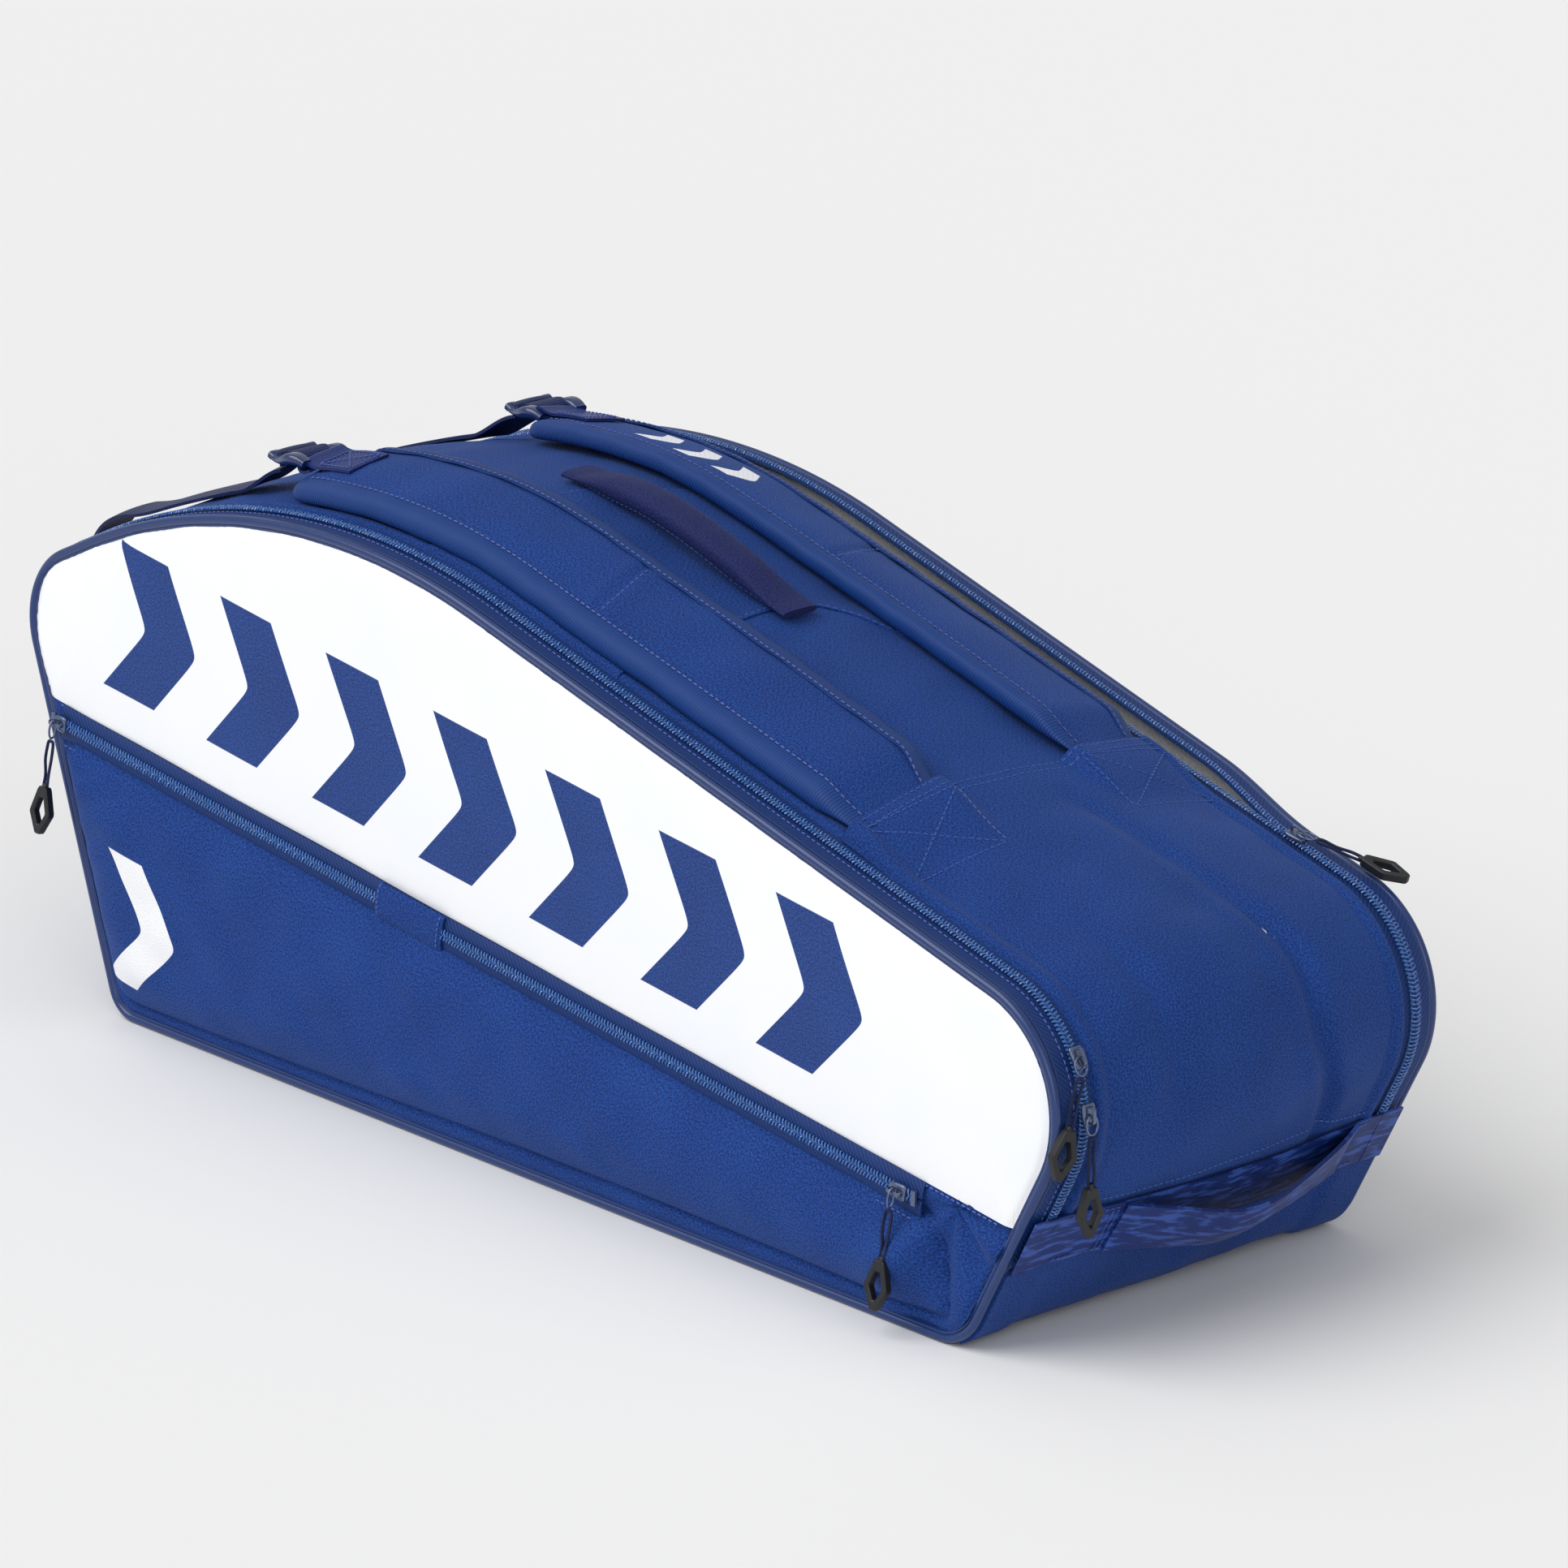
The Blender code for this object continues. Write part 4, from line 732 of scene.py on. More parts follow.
def make_side(side, prefix):
    fold = ("fold", side)
    body = prefix + "_side" if side < 0 else fold
    lower = [prefix + name for name in ("_lower_panel", "_pocket_panel", "_panel_band")]
    for name, material, hangs, grid, relief, replaced, slot in (
            ("_field", FIELD, body, ruled(FIELD_EDGE, 46, 300, 0.9), field_relief, [prefix + "_panel"],
             "white_panel"),
            ("_lower_cloth", LOWER, fold, ruled(LOWER_EDGE, 96, 330, 0.95), pocket_relief, lower,
             "blue_fabric")):
        x, z = grid[..., 0], grid[..., 1]
        cloth(prefix + name, material, hangs, panel_point(side, x, z, relief(x, z)), 0.0016, replaced, slot,
              50, grid, (0, side, 0), True)
    make_piping(side, prefix, fold)
    make_pocket_zip(side, prefix, fold)
    make_panel_lining(side, prefix, fold)


def make_piping(side, prefix, fold):
    """Piping cord round the whole panel, with the thin flanges on both sides of it."""
    shape = Shape()
    for inset, out, radius, sides in ((PIPING_RADIUS, PIPING_Y, PIPING_RADIUS, 12),
                                      (0.0016, ZIP_OUTER_Y + 0.0003, 0.001, 8),
                                      (PANEL_INSET - 0.0004, PANEL_FACE - 0.0018, 0.0011, 6)):
        path = Outline(SIDE_CORNERS, inset)
        points = path.at(around(700, path.length))[0]
        shape.tube(on_side(side, points[:, 0], out, points[:, 1]), radius, sides, cyclic=True)
    shape.finish(prefix + "_piping_cord", PIPING, fold, [prefix + "_piping"], "piping")


def coil(start, end):
    """Stations of a zip coil's wire, with its distance from the zip's middle and its rise."""
    steps = int((end - start) / COIL_PITCH * COIL_STEPS)
    angle = TURN * np.arange(steps) / COIL_STEPS
    return np.linspace(start, end, steps), 0.00155 + 0.0013 * np.cos(angle), 0.00075 * np.sin(angle)


def on_pocket_zip(side, x, across, lift):
    """Points over the leaning pocket zip, across from its middle line."""
    return panel_point(side, x - across * math.sin(FIELD_LEAN),
                       field_line(x, POCKET_ZIP_DROP) + across * math.cos(FIELD_LEAN), lift)


def make_pocket_zip(side, prefix, fold):
    """Pocket zip below the field: two tapes, two coil rows and, at the front, the cloth garage."""
    facing = (0, side, 0)
    x = np.linspace(POCKET_LEFT + 0.004, POCKET_RIGHT + 0.004, 240)[:, None]
    replaced = ["pocket_zip_left", "pocket_zip_right"] if side < 0 else ["rear_pocket_zip"]
    half = 0.0092
    for name, low, high, gone in (("upper", 0.0006, half, replaced), ("lower", -half, -0.0006, [])):
        v = np.linspace(low, high, 7)
        points = on_pocket_zip(side, x, v, 0.0031 - 0.0012 * (v / half) ** 4)
        cloth("%s_pocket_tape_%s" % (prefix, name), TAPE, fold, points, 0.0007, gone, "zip", outward=facing)
    seams = Shape()
    for start, end, count, rise, lift in ((POCKET_LEFT, 0.34, 520, 0.007955, 0.0014),
                                          (POCKET_LEFT + 0.006, POCKET_RIGHT, 500, -0.01131, 0.004)):
        run = np.linspace(start, end, count)
        seams.stitches(panel_point(side, run, field_line(run, POCKET_ZIP_DROP) + rise, lift), facing, *FINE)
    seams.finish(prefix + "_pocket_stitching", LIGHT_THREAD, fold, slot="zip")

    shape = Shape()
    run, offset, rise = coil(POCKET_LEFT, POCKET_RIGHT)
    line = on_pocket_zip(side, run, 0, 0.004) + np.array(facing) * rise[:, None]
    across = np.array((-math.sin(FIELD_LEAN), 0, math.cos(FIELD_LEAN)))
    for sign in (-1, 1):
        shape.tube(line + across * (sign * offset)[:, None], 0.0005, 4)
    shape.finish(prefix + "_pocket_coil", COIL, fold, slot="zip")

    shape = Shape()
    for stop in (POCKET_LEFT, POCKET_RIGHT):
        points = panel_point(side, stop + np.linspace(-0.0015, 0.0015, 5)[:, None],
                             field_line(stop, POCKET_ZIP_DROP) + 0.0038 * np.linspace(-1, 1, 7), 0.0052)
        shape.plate(points, 0.0014, None, facing)
    shape.finish(prefix + "_pocket_stops", METAL, fold, slot="painted_metal")
    if side < 0:
        make_garage(side, fold, facing)


def make_garage(side, fold, facing):
    """Cloth bridge over the middle of the front pocket's zip."""
    half = 0.0096
    u = np.linspace(GARAGE_LEFT, GARAGE_RIGHT, 40)[:, None]
    v = np.linspace(-half, half, 15)
    ends = bump(u, GARAGE_LEFT, 0.002) + bump(u, GARAGE_RIGHT, 0.002)
    lift = 0.0058 - 0.002 * (v / half) ** 4 - 0.0008 * ends + 0.0002 * ripple(u, v * 3, 0.02, 2)
    cloth("pocket_garage", BLUE, fold, on_pocket_zip(side, u, v, lift), 0.0012, ["pocket_zip_garage"],
          "blue_fabric", outward=facing)
    shape = Shape()
    v = np.linspace(-0.009, 0.009, 30)
    for end in (GARAGE_LEFT + 0.0022, GARAGE_RIGHT - 0.0022):
        shape.stitches(on_pocket_zip(side, end, v, 0.0058 - 0.002 * (v / half) ** 4), facing, 0.003, 0.002)
    shape.finish("pocket_garage_stitching", LIGHT_THREAD, fold, slot="blue_fabric")


def make_panel_lining(side, prefix, fold):
    """Silver lining inside a side panel, with the slack folds of thin cloth."""
    centre = np.array((0, 0.14))
    for name, grid, replaced in (("_upper", ruled(FIELD_EDGE, 30, 180), [prefix + "_panel_lining"]),
                                 ("_lower", ruled(LOWER_EDGE, 40, 180), [])):
        grid = centre + (grid - centre) * 0.992
        x, z = grid[..., 0], grid[..., 1]
        depth = np.clip(edge_distance(x, z)[0], 0, 0.1)
        above = np.abs(z - field_line(x))
        folds = 0.0022 * ripple(x, z * 0.45, 0.055, 21) + 0.0014 * ripple(x, z * 0.6, 0.022, 22) - 0.0026
        out = folds * 0.7 * ease(np.minimum(depth, above + 0.004), 0, 0.03)
        out = out - 0.0052 - 0.001 * ease(depth, 0, 0.02)
        cloth(prefix + "_lining" + name, LINING, fold, panel_point(side, x, z, out), 0.0006, replaced,
              "grey_lining", 60, outward=(0, -side, 0), merge=True)


# ---------------------------------------------------------------- main zips
def make_main_zip(side, prefix):
    fold = ("fold", side)
    start, end = HIGH_END_FOLD - 0.003, LOW_END_FOLD + 0.003
    places = np.linspace(start, end, 420)
    widths = side * np.linspace(GUSSET_HALF - 0.003, ZIP_COIL_Y - 0.0004, 5)
    cloth(prefix + "_inner_tape", TAPE, "shell", skin(places[:, None], widths, -0.0007), 0.0008,
          [prefix + "_zip_inner_tape"], "zip")
    widths = np.linspace(ZIP_COIL_Y + 0.0004, ZIP_OUTER_Y + 0.001, 7)
    point, normal = SIDE.at(places)
    place = (point - normal * 0.0007)[:, None]
    cloth(prefix + "_outer_tape", TAPE, fold, on_side(side, place[..., 0], widths, place[..., 1]), 0.0008,
          [prefix + "_zip_outer_tape"], "zip")

    run, offset, rise = coil(start, end)
    point, normal = SIDE.at(run)
    x, z = (point + normal * (0.0009 + rise)[:, None]).T
    for name, points, body in (("_inner_coil", joined(x, side * (ZIP_COIL_Y - offset), z), "shell"),
                               ("_outer_coil", on_side(side, x, ZIP_COIL_Y + offset, z), fold)):
        shape = Shape()
        shape.tube(points, COIL_WIRE, 4)
        shape.finish(prefix + name, COIL, body, slot="zip")

    point, normal = SIDE.at(np.linspace(start, end, 900))
    normals = joined(normal[:, 0], 0, normal[:, 1])
    sewn, high = (point - normal * 0.0005).T, (point + normal * 0.0008).T
    for name, path, body in (
            ("_outer_tape_stitching", on_side(side, sewn[0], ZIP_COIL_Y + 0.0052, sewn[1]), fold),
            ("_cover_edge_stitching", joined(high[0], side * (GUSSET_HALF - 0.0026), high[1]), "shell")):
        shape = Shape()
        shape.stitches(path, normals, *FINE)
        shape.finish(prefix + name, LIGHT_THREAD, body, slot="zip")


# ---------------------------------------------------------------- top, ends and base
def cover_relief(distance, y):
    """Wrinkles of the top and ends; never above the skin, so that the straps lie clear."""
    relief = 0.0011 * (ripple(distance, y, 0.11, 31) - 1) + 0.0005 * (ripple(distance, y, 0.035, 32) - 1)
    near = distance - LOW_END_TOP
    along = np.clip(near / 0.13, 0, 1)
    crease_y = 0.028 + 0.034 * along + 0.004 * np.sin(9 * along)
    for depth, line, width, reach in (
            (0.0052, crease_y, 0.006, (-0.02, 0.05, 0.115, 0.15)),
            (0.0022, crease_y - 0.018, 0.016, (-0.08, 0, 0.1, 0.14)),
            (0.0026, -0.062 + 0.012 * along, 0.01, (-0.03, 0.03, 0.07, 0.11)),
            (0.002, crease_y + 0.004, 0.0022, (0.02, 0.045, 0.095, 0.125))):
        relief = relief - depth * bump(y, line, width) * between(near, *reach)
    crease = bump(y, 0.012 + 0.16 * (distance - 0.86), 0.0075) * between(distance, 0.865, 0.9, 0.98, 1.04)
    return (relief - 0.0028 * crease) * ease(np.clip(GUSSET_HALF - np.abs(y), 0, 0.02), 0, 0.014)


def half_width(distance):
    """Half width of the cloth between the zips, wider below the folds."""
    narrow = between(distance, HIGH_END_FOLD - 0.006, HIGH_END_FOLD - 0.001, LOW_END_FOLD + 0.001,
                     LOW_END_FOLD + 0.006)
    return BASE_WIDE + (GUSSET_HALF + 0.0002 - BASE_WIDE) * narrow


def cover_points(rows, shares, lift):
    """Points of the cover over distances and shares of its half width."""
    y = half_width(rows) * shares
    apart = GUSSET_HALF - np.abs(y)
    roll = 0.0013 * bump(apart, 0.0042, 0.0034) - 0.0022 * bump(apart, 0, 0.0012) - 0.0006 * bump(
        apart, 0.0105, 0.0022)
    open_part = between(rows, HIGH_END_FOLD, HIGH_END_FOLD + 0.01, LOW_END_FOLD - 0.01, LOW_END_FOLD)
    return skin(rows, y, cover_relief(rows, y) + lift + roll * open_part)


SEAMS = {"handle_high": lambda y: 0.539 + 0.26 * np.clip(y + 0.045, 0, 0.2) + 0.9 * np.clip(y, 0, 1) ** 2,
         "handle_low": lambda y: 0.684 + 29.4 * np.clip(y - 0.008, 0, 0.04) ** 2,
         "yoke": lambda y: 0.847 + 0.0022 * np.sin(38 * y),
         "low_end": lambda y: LOW_END_BOTTOM - 0.012 + 0 * y}


def strap_cover(distance, y):
    """Rise of the yoke over the straps' sewn ends."""
    across = np.abs(np.abs(y) - STRAP_CENTRE_Y)
    rise = 1 - ease(across, STRAP_HALF - 0.005, STRAP_HALF + 0.006)
    return 0.008 * rise * (1 - ease(distance, 0.852, 0.896))


def patch_lift(place, y, yoke=True):
    """Height of a seam sewn on a patch."""
    return 0.0013 + cover_relief(place, y) + yoke * strap_cover(place, y)


def make_cover():
    shares = np.sin(np.linspace(-1, 1, 111) * math.pi / 2 * 0.95) / math.sin(math.pi / 2 * 0.95)
    rows = np.linspace(-0.02, SIDE.length - SIDE.pieces[-1][1] + 0.02, 460)[:, None]
    cloth("cover", BLUE, "shell", cover_points(rows, shares, 0), 0.0018,
          ["left_end_gusset", "top_gusset", "right_end_gusset"], "blue_fabric", 60)
    stitching = Shape()
    for name, first, second, count in (("handle_patch", "handle_high", "handle_low", 60),
                                       ("yoke", "yoke", "low_end", 170)):
        yoke = name == "yoke"
        start, end = SEAMS[first](GUSSET_HALF * shares), SEAMS[second](GUSSET_HALF * shares)
        grid = start + (end - start) * np.linspace(0, 1, count)[:, None]
        y = half_width(grid) * shares
        edge = np.minimum(grid - start, end - grid)
        lift = 0.0011 + yoke * strap_cover(grid, y) + 0.0003 * ripple(y, grid * 0.2, 0.016, 41) * np.exp(
            -edge / 0.006)
        cloth(name, BLUE, "shell", cover_points(grid, shares, lift), 0.0011, slot="blue_fabric", angle=60)
        y = np.linspace(-0.104, 0.104, 200)
        insets = (0.0022, 0.0075) if yoke else (0.0022,)
        for place in [SEAMS[first](y) + inset for inset in insets] + [SEAMS[second](y) - 0.0022] * (not yoke):
            stitching.sew(place, y, patch_lift(place, y, yoke))
    for side, low in ((-1, 0.856), (1, 0.858)):
        centre = side * (STRAP_CENTRE_Y + 0.001)
        stitching.sewn_box(low, low + 0.04, 0.031, centre, patch_lift, 0.0038, 0.0026, 60)
    stitching.finish("cover_stitching", THREAD, "shell", slot="blue_fabric")


def make_base():
    """Base cloth under its board, and the lining that lies on the board."""
    x = np.linspace(-0.2935, 0.299, 60)[:, None]
    points = joined(x, np.linspace(-BASE_WIDE, BASE_WIDE, 31), 0.0004)
    cloth("base_cloth", BLUE, "shell", points, 0.0016, ["base_panel"], "blue_fabric", outward=(0, 0, -1))
    x = np.linspace(-0.296, 0.3, 90)[:, None]
    for side, name in ((-1, "front"), (1, "rear")):
        y = side * np.linspace(0.004, 0.1265, 24)
        lift = 0.0074 + 0.0011 * (1 + ripple(x, y, 0.07, 51)) * ease(0.1265 - np.abs(y), 0, 0.02)
        cloth("base_lining_" + name, LINING, "shell", joined(x, y, lift), 0.0006, (), "grey_lining", 60,
              outward=(0, 0, 1))


def make_inside():
    """Lining under the top and ends, and the padded divider between the compartments."""
    places = np.linspace(HIGH_END_FOLD - 0.03, LOW_END_FOLD + 0.03, 240)[:, None]
    for side, name in ((-1, "front"), (1, "rear")):
        y = side * np.linspace(0.004, GUSSET_HALF - 0.001, 26)
        edge = np.minimum(np.abs(y) - 0.004, GUSSET_HALF - 0.001 - np.abs(y))
        lift = -0.0062 - 0.0012 * (1 + ripple(places, y, 0.06, 61)) * ease(edge, 0, 0.02)
        lift = lift - 0.002 * (1 - ease(np.abs(y), 0, 0.012))
        cloth("compartment_lining_" + name, LINING, "shell", skin(places, y, lift), 0.0006,
              [name + "_compartment_lining"], "grey_lining", 60)

    path = Outline(SIDE_CORNERS, 0.0135)
    rim = path.at(around(300, path.length))[0]
    centre = np.array((0, 0.15))
    share = 1 - np.linspace(0, 1, 26) ** 1.6
    grid = centre + (rim - centre) * share[:, None, None] * 0.998
    depth = np.linalg.norm(rim - grid, axis=-1)
    x, z = grid[..., 0], grid[..., 1]
    quilt = 0.5 + 0.5 * np.cos(TURN * (x + z) / 0.09) * np.cos(TURN * (x - z) / 0.09)
    thick = 0.0006 + 0.0026 * np.sqrt(np.clip(depth / 0.012, 0, 1)) * (0.75 + 0.25 * quilt)
    loop = np.concatenate([joined(x, -thick, z)[::-1], joined(x, thick, z)])
    shape = Shape()
    shape.grid(loop, loop[..., ::2], closed=True)
    divider = shape.finish("divider", PADDING, "shell", ["divider_panel"], "grey_lining", 60, True)
    shape = Shape()
    shape.tube(joined(rim[:, 0], 0, rim[:, 1]), 0.0022, 8, cyclic=True, squeeze=1.3)
    shape.finish("divider_binding", BINDING, "shell", slot="webbing")


# ---------------------------------------------------------------- straps
STRAP_HIGH = {label: top_at(x) for label, x in STRAP_END_X.items()}
STRAP_LOW = top_at(STRAP_START_X)
# cross seam of each strap: where it meets the inner edge, and how it slants
CROSS_SEAMS = {"front": (0.632, 0.28), "rear": (0.664, -0.22)}


def cross_seam(label, y):
    """Distance along the outline of a strap's cross seam."""
    place, slant = CROSS_SEAMS[label]
    return place + slant * (np.abs(y) - STRAP_CENTRE_Y + STRAP_HALF)


def strap_height(along, length):
    """Thickness of a strap, thinner where the yoke covers its end."""
    thick = STRAP_THICKNESS * (1 - 0.64 * ease(along, length - 0.045, length - 0.012))
    return thick * (0.82 + 0.18 * ease(along, 0, 0.02))


def make_strap(side, label):
    centre = side * STRAP_CENTRE_Y
    body = "strap_" + label
    high = STRAP_HIGH[label]
    length = STRAP_LOW - high

    def strap_point(along, across, lift):
        tucked = ease(along, length - 0.04, length - 0.014)
        return skin(high + along, centre + across * (1 - 0.16 * tucked), lift * (1 - 0.3 * tucked))

    along = np.concatenate([np.linspace(0, 1, 14)[:-1] ** 2 * 0.02, np.linspace(0.02, length, 200)])[:, None]
    angle = around(48)
    tall = squared(np.sin(angle), 0.55)
    short = np.clip(STRAP_CORNER - along, 0, STRAP_CORNER)
    half = STRAP_HALF - STRAP_CORNER + np.sqrt(STRAP_CORNER ** 2 - short ** 2) - 0.0012
    across = half * squared(np.cos(angle), 0.55)
    cross = cross_seam(label, centre + across) - high
    thick = strap_height(along, length)
    seam = 0.0011 * bump(along, cross, 0.0022) - 0.0005 * bump(np.abs(along - cross), 0.007, 0.005)
    relief = 0.0007 * ripple(along, across, 0.05, 70 + (side > 0)) + 0.0013 * (1 - (across / half) ** 2)
    top = (tall > 0) * (relief - seam) * tall
    lift = STRAP_REST_GAP + thick / 2 + tall * (thick / 2 - 0.0006) + top
    shape = Shape()
    shape.grid(strap_point(along, across, lift), joined(along, across), closed=True, caps=True)
    strap = shape.finish("strap_pad_" + label, STRAP_MARKED if side > 0 else BLUE, body,
                         ["shoulder_strap_" + label], "blue_fabric", 70)

    # binding: over each edge and round the rounded high end
    inner = STRAP_HALF - STRAP_CORNER
    edge = [(a, STRAP_HALF, 0, 1) for a in np.linspace(length, STRAP_CORNER, 170)]
    edge += [(STRAP_CORNER * (1 - math.sin(t)), inner + STRAP_CORNER * math.cos(t), -math.sin(t), math.cos(t))
             for t in np.linspace(0, math.pi / 2, 16)[1:-1]]
    end = [(0, w, -1, 0) for w in np.linspace(-inner, inner, 30)]
    a, w, out_a, out_w = np.vstack([np.array(edge) * (1, -1, 1, -1), end, edge[::-1]]).T
    thick = strap_height(a, length)
    section = np.array([(-0.01, 1.07), (-0.0085, 1.13), (-0.005, 1.12), (-0.0022, 1.04), (-0.0006, 0.88),
                        (0.0003, 0.66), (0.0005, 0.45), (0.0002, 0.26), (-0.0008, 0.12), (-0.003, 0.03),
                        (-0.008, 0.0)])
    step = 0.0016
    offset = section[:, 0] + 0.0004 * ripple(np.arange(len(a)) * step, 0, 0.02, 77 + (side > 0))[:, None]
    puff = 0.00024 * np.sin(TURN * step * np.arange(1, len(a) + 1) / 0.021)[:, None] * (section[:, 1] > 0.5)
    lift = STRAP_REST_GAP - 0.0002 + thick[:, None] * section[:, 1] + puff
    points = strap_point(a[:, None] + out_a[:, None] * offset, w[:, None] + out_w[:, None] * offset, lift)
    cloth("strap_binding_" + label, BINDING, body, points, 0.0007, slot="webbing", angle=60)
    shape = Shape()
    inset = -0.0088
    sewn = strap_point(a + out_a * inset, w + out_w * inset, STRAP_REST_GAP + thick * 1.13 + 0.0002)
    shape.stitches(sewn, skin_normal(high + a, centre + w), 0.004, 0.0026)
    share = np.linspace(-0.64, 0.64, 60) * STRAP_HALF
    place = cross_seam(label, centre + share) + 0.0035
    shape.sew(place, centre + share, STRAP_REST_GAP + STRAP_THICKNESS + 0.0009)
    shape.finish("strap_stitching_" + label, LIGHT_THREAD, body, slot="webbing")
    make_tab(label, centre, body)
    make_lock(label, centre)
    make_strap_webbing(label, centre)


def ribbon(shape, place_points, profile, half, thickness):
    """Webbing whose side view is a profile; place_points takes (along, across, height) to the bag."""
    line = smooth_path(profile)
    across = half * np.linspace(-1, 1, 9)
    flat = joined(line[:, :1], across, line[:, 1:])
    step = tangents(line)
    normal = joined(-step[:, 1], 0, step[:, 0])[:, None] * thickness / 2
    loop = np.concatenate([flat + normal, (flat - normal)[:, ::-1]], axis=1)
    weave = joined(lengths(flat, 0)[:, :1], np.concatenate([across, -across[::-1]]))
    shape.grid(place_points(loop), weave, closed=True, caps=True)


def make_tab(label, centre, body):
    """Webbing square on the strap that loops round the lock's near bar."""
    origin = STRAP_HIGH[label] - 0.002
    floor = STRAP_REST_GAP + STRAP_THICKNESS
    top = 0.0021
    shape = Shape()
    ribbon(shape, lambda local: skin(origin - local[..., 0], centre + local[..., 1], floor + local[..., 2]),
           [(-0.0325, top - 0.0004), (-0.026, top), (-0.016, top), (-0.007, top - 0.0002),
            (-0.002, top + 0.001), (0.002, top + 0.0026), (0.0052, 0.0032), (0.0048, 0.0000),
            (0.0016, -0.001), (-0.0025, -0.0002)], TAB_HALF, 0.0015)
    shape.finish("strap_tab_web_" + label, TAB_WEBBING, body, ["strap_tab_" + label], "webbing", 60)
    shape = Shape()
    shape.sewn_box(origin + 0.0302, origin + 0.007, TAB_HALF - 0.0026, centre,
                   lambda place, y: floor + top + 0.001, 0.0028, 0.00196)
    shape.finish("strap_tab_stitching_" + label, LIGHT_THREAD, body, slot="webbing")


def make_lock(label, centre):
    """Ladder lock: two wavy side rails joined by three bars, the far one a flared lip."""
    point, normal = SIDE.at(STRAP_HIGH[label] - 0.002)
    origin = point + normal * (STRAP_REST_GAP + STRAP_THICKNESS + crown(point, centre))
    matrix = frame_from((origin[0], centre, origin[1]), (-normal[1], 0, normal[0]), (normal[0], 0, normal[1]))
    outward = np.array(matrix)[:3, 2]
    shape = Shape()
    x, z = smooth_path([(-0.0006, 0.0014), (0.004, 0.0034), (0.009, 0.004), (0.0145, 0.003),
                        (0.0205, 0.003), (0.0258, 0.0052)], 8).T
    wave = np.sin(np.clip(x / LOCK_LENGTH, 0, 1) * TURN - 0.4)
    section = rounded_box(0.004, 0.0024, 0.002) * joined(1 + 0.12 * wave, 1 + 0.24 * wave)[:, None]
    for side in (-1, 1):
        y = side * (LOCK_HALF - 0.0044 + 0.0009 * np.sin(x / LOCK_LENGTH * math.pi * 1.6))
        shape.sweep(placed(matrix, joined(x, y, z)), outward, section)
    y = np.linspace(-LOCK_HALF + 0.004, LOCK_HALF - 0.004, 15)
    for x, z, bar, tilt, sag in ((0.0022, 0.0022, (0.002, 0.0016, 0.0013), 0, 0),
                                 (0.0125, 0.0028, (0.0024, 0.0015, 0.0012), 0, 0),
                                 (0.024, 0.0044, (0.0034, 0.0017, 0.0014), math.radians(-20), 0.0014)):
        sag = sag * (1 - (y / LOCK_HALF) ** 2)
        cosine, sine = math.cos(tilt), math.sin(tilt)
        turned = rounded_box(*bar) @ np.array([(cosine, sine), (-sine, cosine)])
        shape.sweep(placed(matrix, joined(x + sag, y, z + sag / 2)), outward, turned)
    body = "lock_" + label
    shape.finish("ladder_lock_frame_" + label, BUCKLE, body, ["ladder_lock_" + label], "buckle_plastic", 50)
    shape = Shape()
    profile = [(0.0215, -0.0012), (0.0212, 0.002), (0.0196, 0.0046), (0.0168, 0.0058), (0.0125, 0.0062),
               (0.0088, 0.0053), (0.0066, 0.0034), (0.0064, 0.001), (0.0088, -0.0006)]
    ribbon(shape, lambda local: placed(matrix, local), profile, WEBBING_HALF - 0.0008, 0.0016)
    shape.finish("lock_webbing_" + label, WEBBING, body, slot="webbing", angle=60)


def make_strap_webbing(label, centre):
    """Webbing from the lock over the rounded high end to its seam there, a little slack."""
    anchor = SIDE.where(lambda point: point[1] > WEBBING_ANCHOR_HEIGHT, 0.02, HIGH_END_TOP)
    near = STRAP_HIGH[label] - 0.023
    place = np.linspace(anchor, near, 130)
    share = (place - anchor) / (near - anchor)
    lift = 0.0024 + 0.0098 * ease(share, 0.84, 1) + 0.0006 * np.sin(9 * share) ** 2
    lift = lift + 0.0085 * bump(place, SIDE.arc_start(1) + 0.046, 0.028)
    across = np.linspace(-1, 1, 9)
    y = centre + WEBBING_HALF * across
    shape = Shape()
    shape.plate(skin(place[:, None], y, lift[:, None] - 0.0006 * across ** 2), 0.0017)
    shape.plate(skin(np.linspace(anchor - 0.022, anchor + 0.006, 14)[:, None], y, 0.0026), 0.0014)
    shape.finish("strap_webbing_run_" + label, WEBBING, "shell", ["strap_webbing_" + label], "webbing", 60)
    shape = Shape()
    shape.sewn_box(anchor - 0.019, anchor - 0.002, WEBBING_HALF - 0.003, centre, lambda place, y: 0.0027,
                   0.0034, 0.00238)
    shape.finish("strap_anchor_stitching_" + label, LIGHT_THREAD, "shell", slot="webbing")


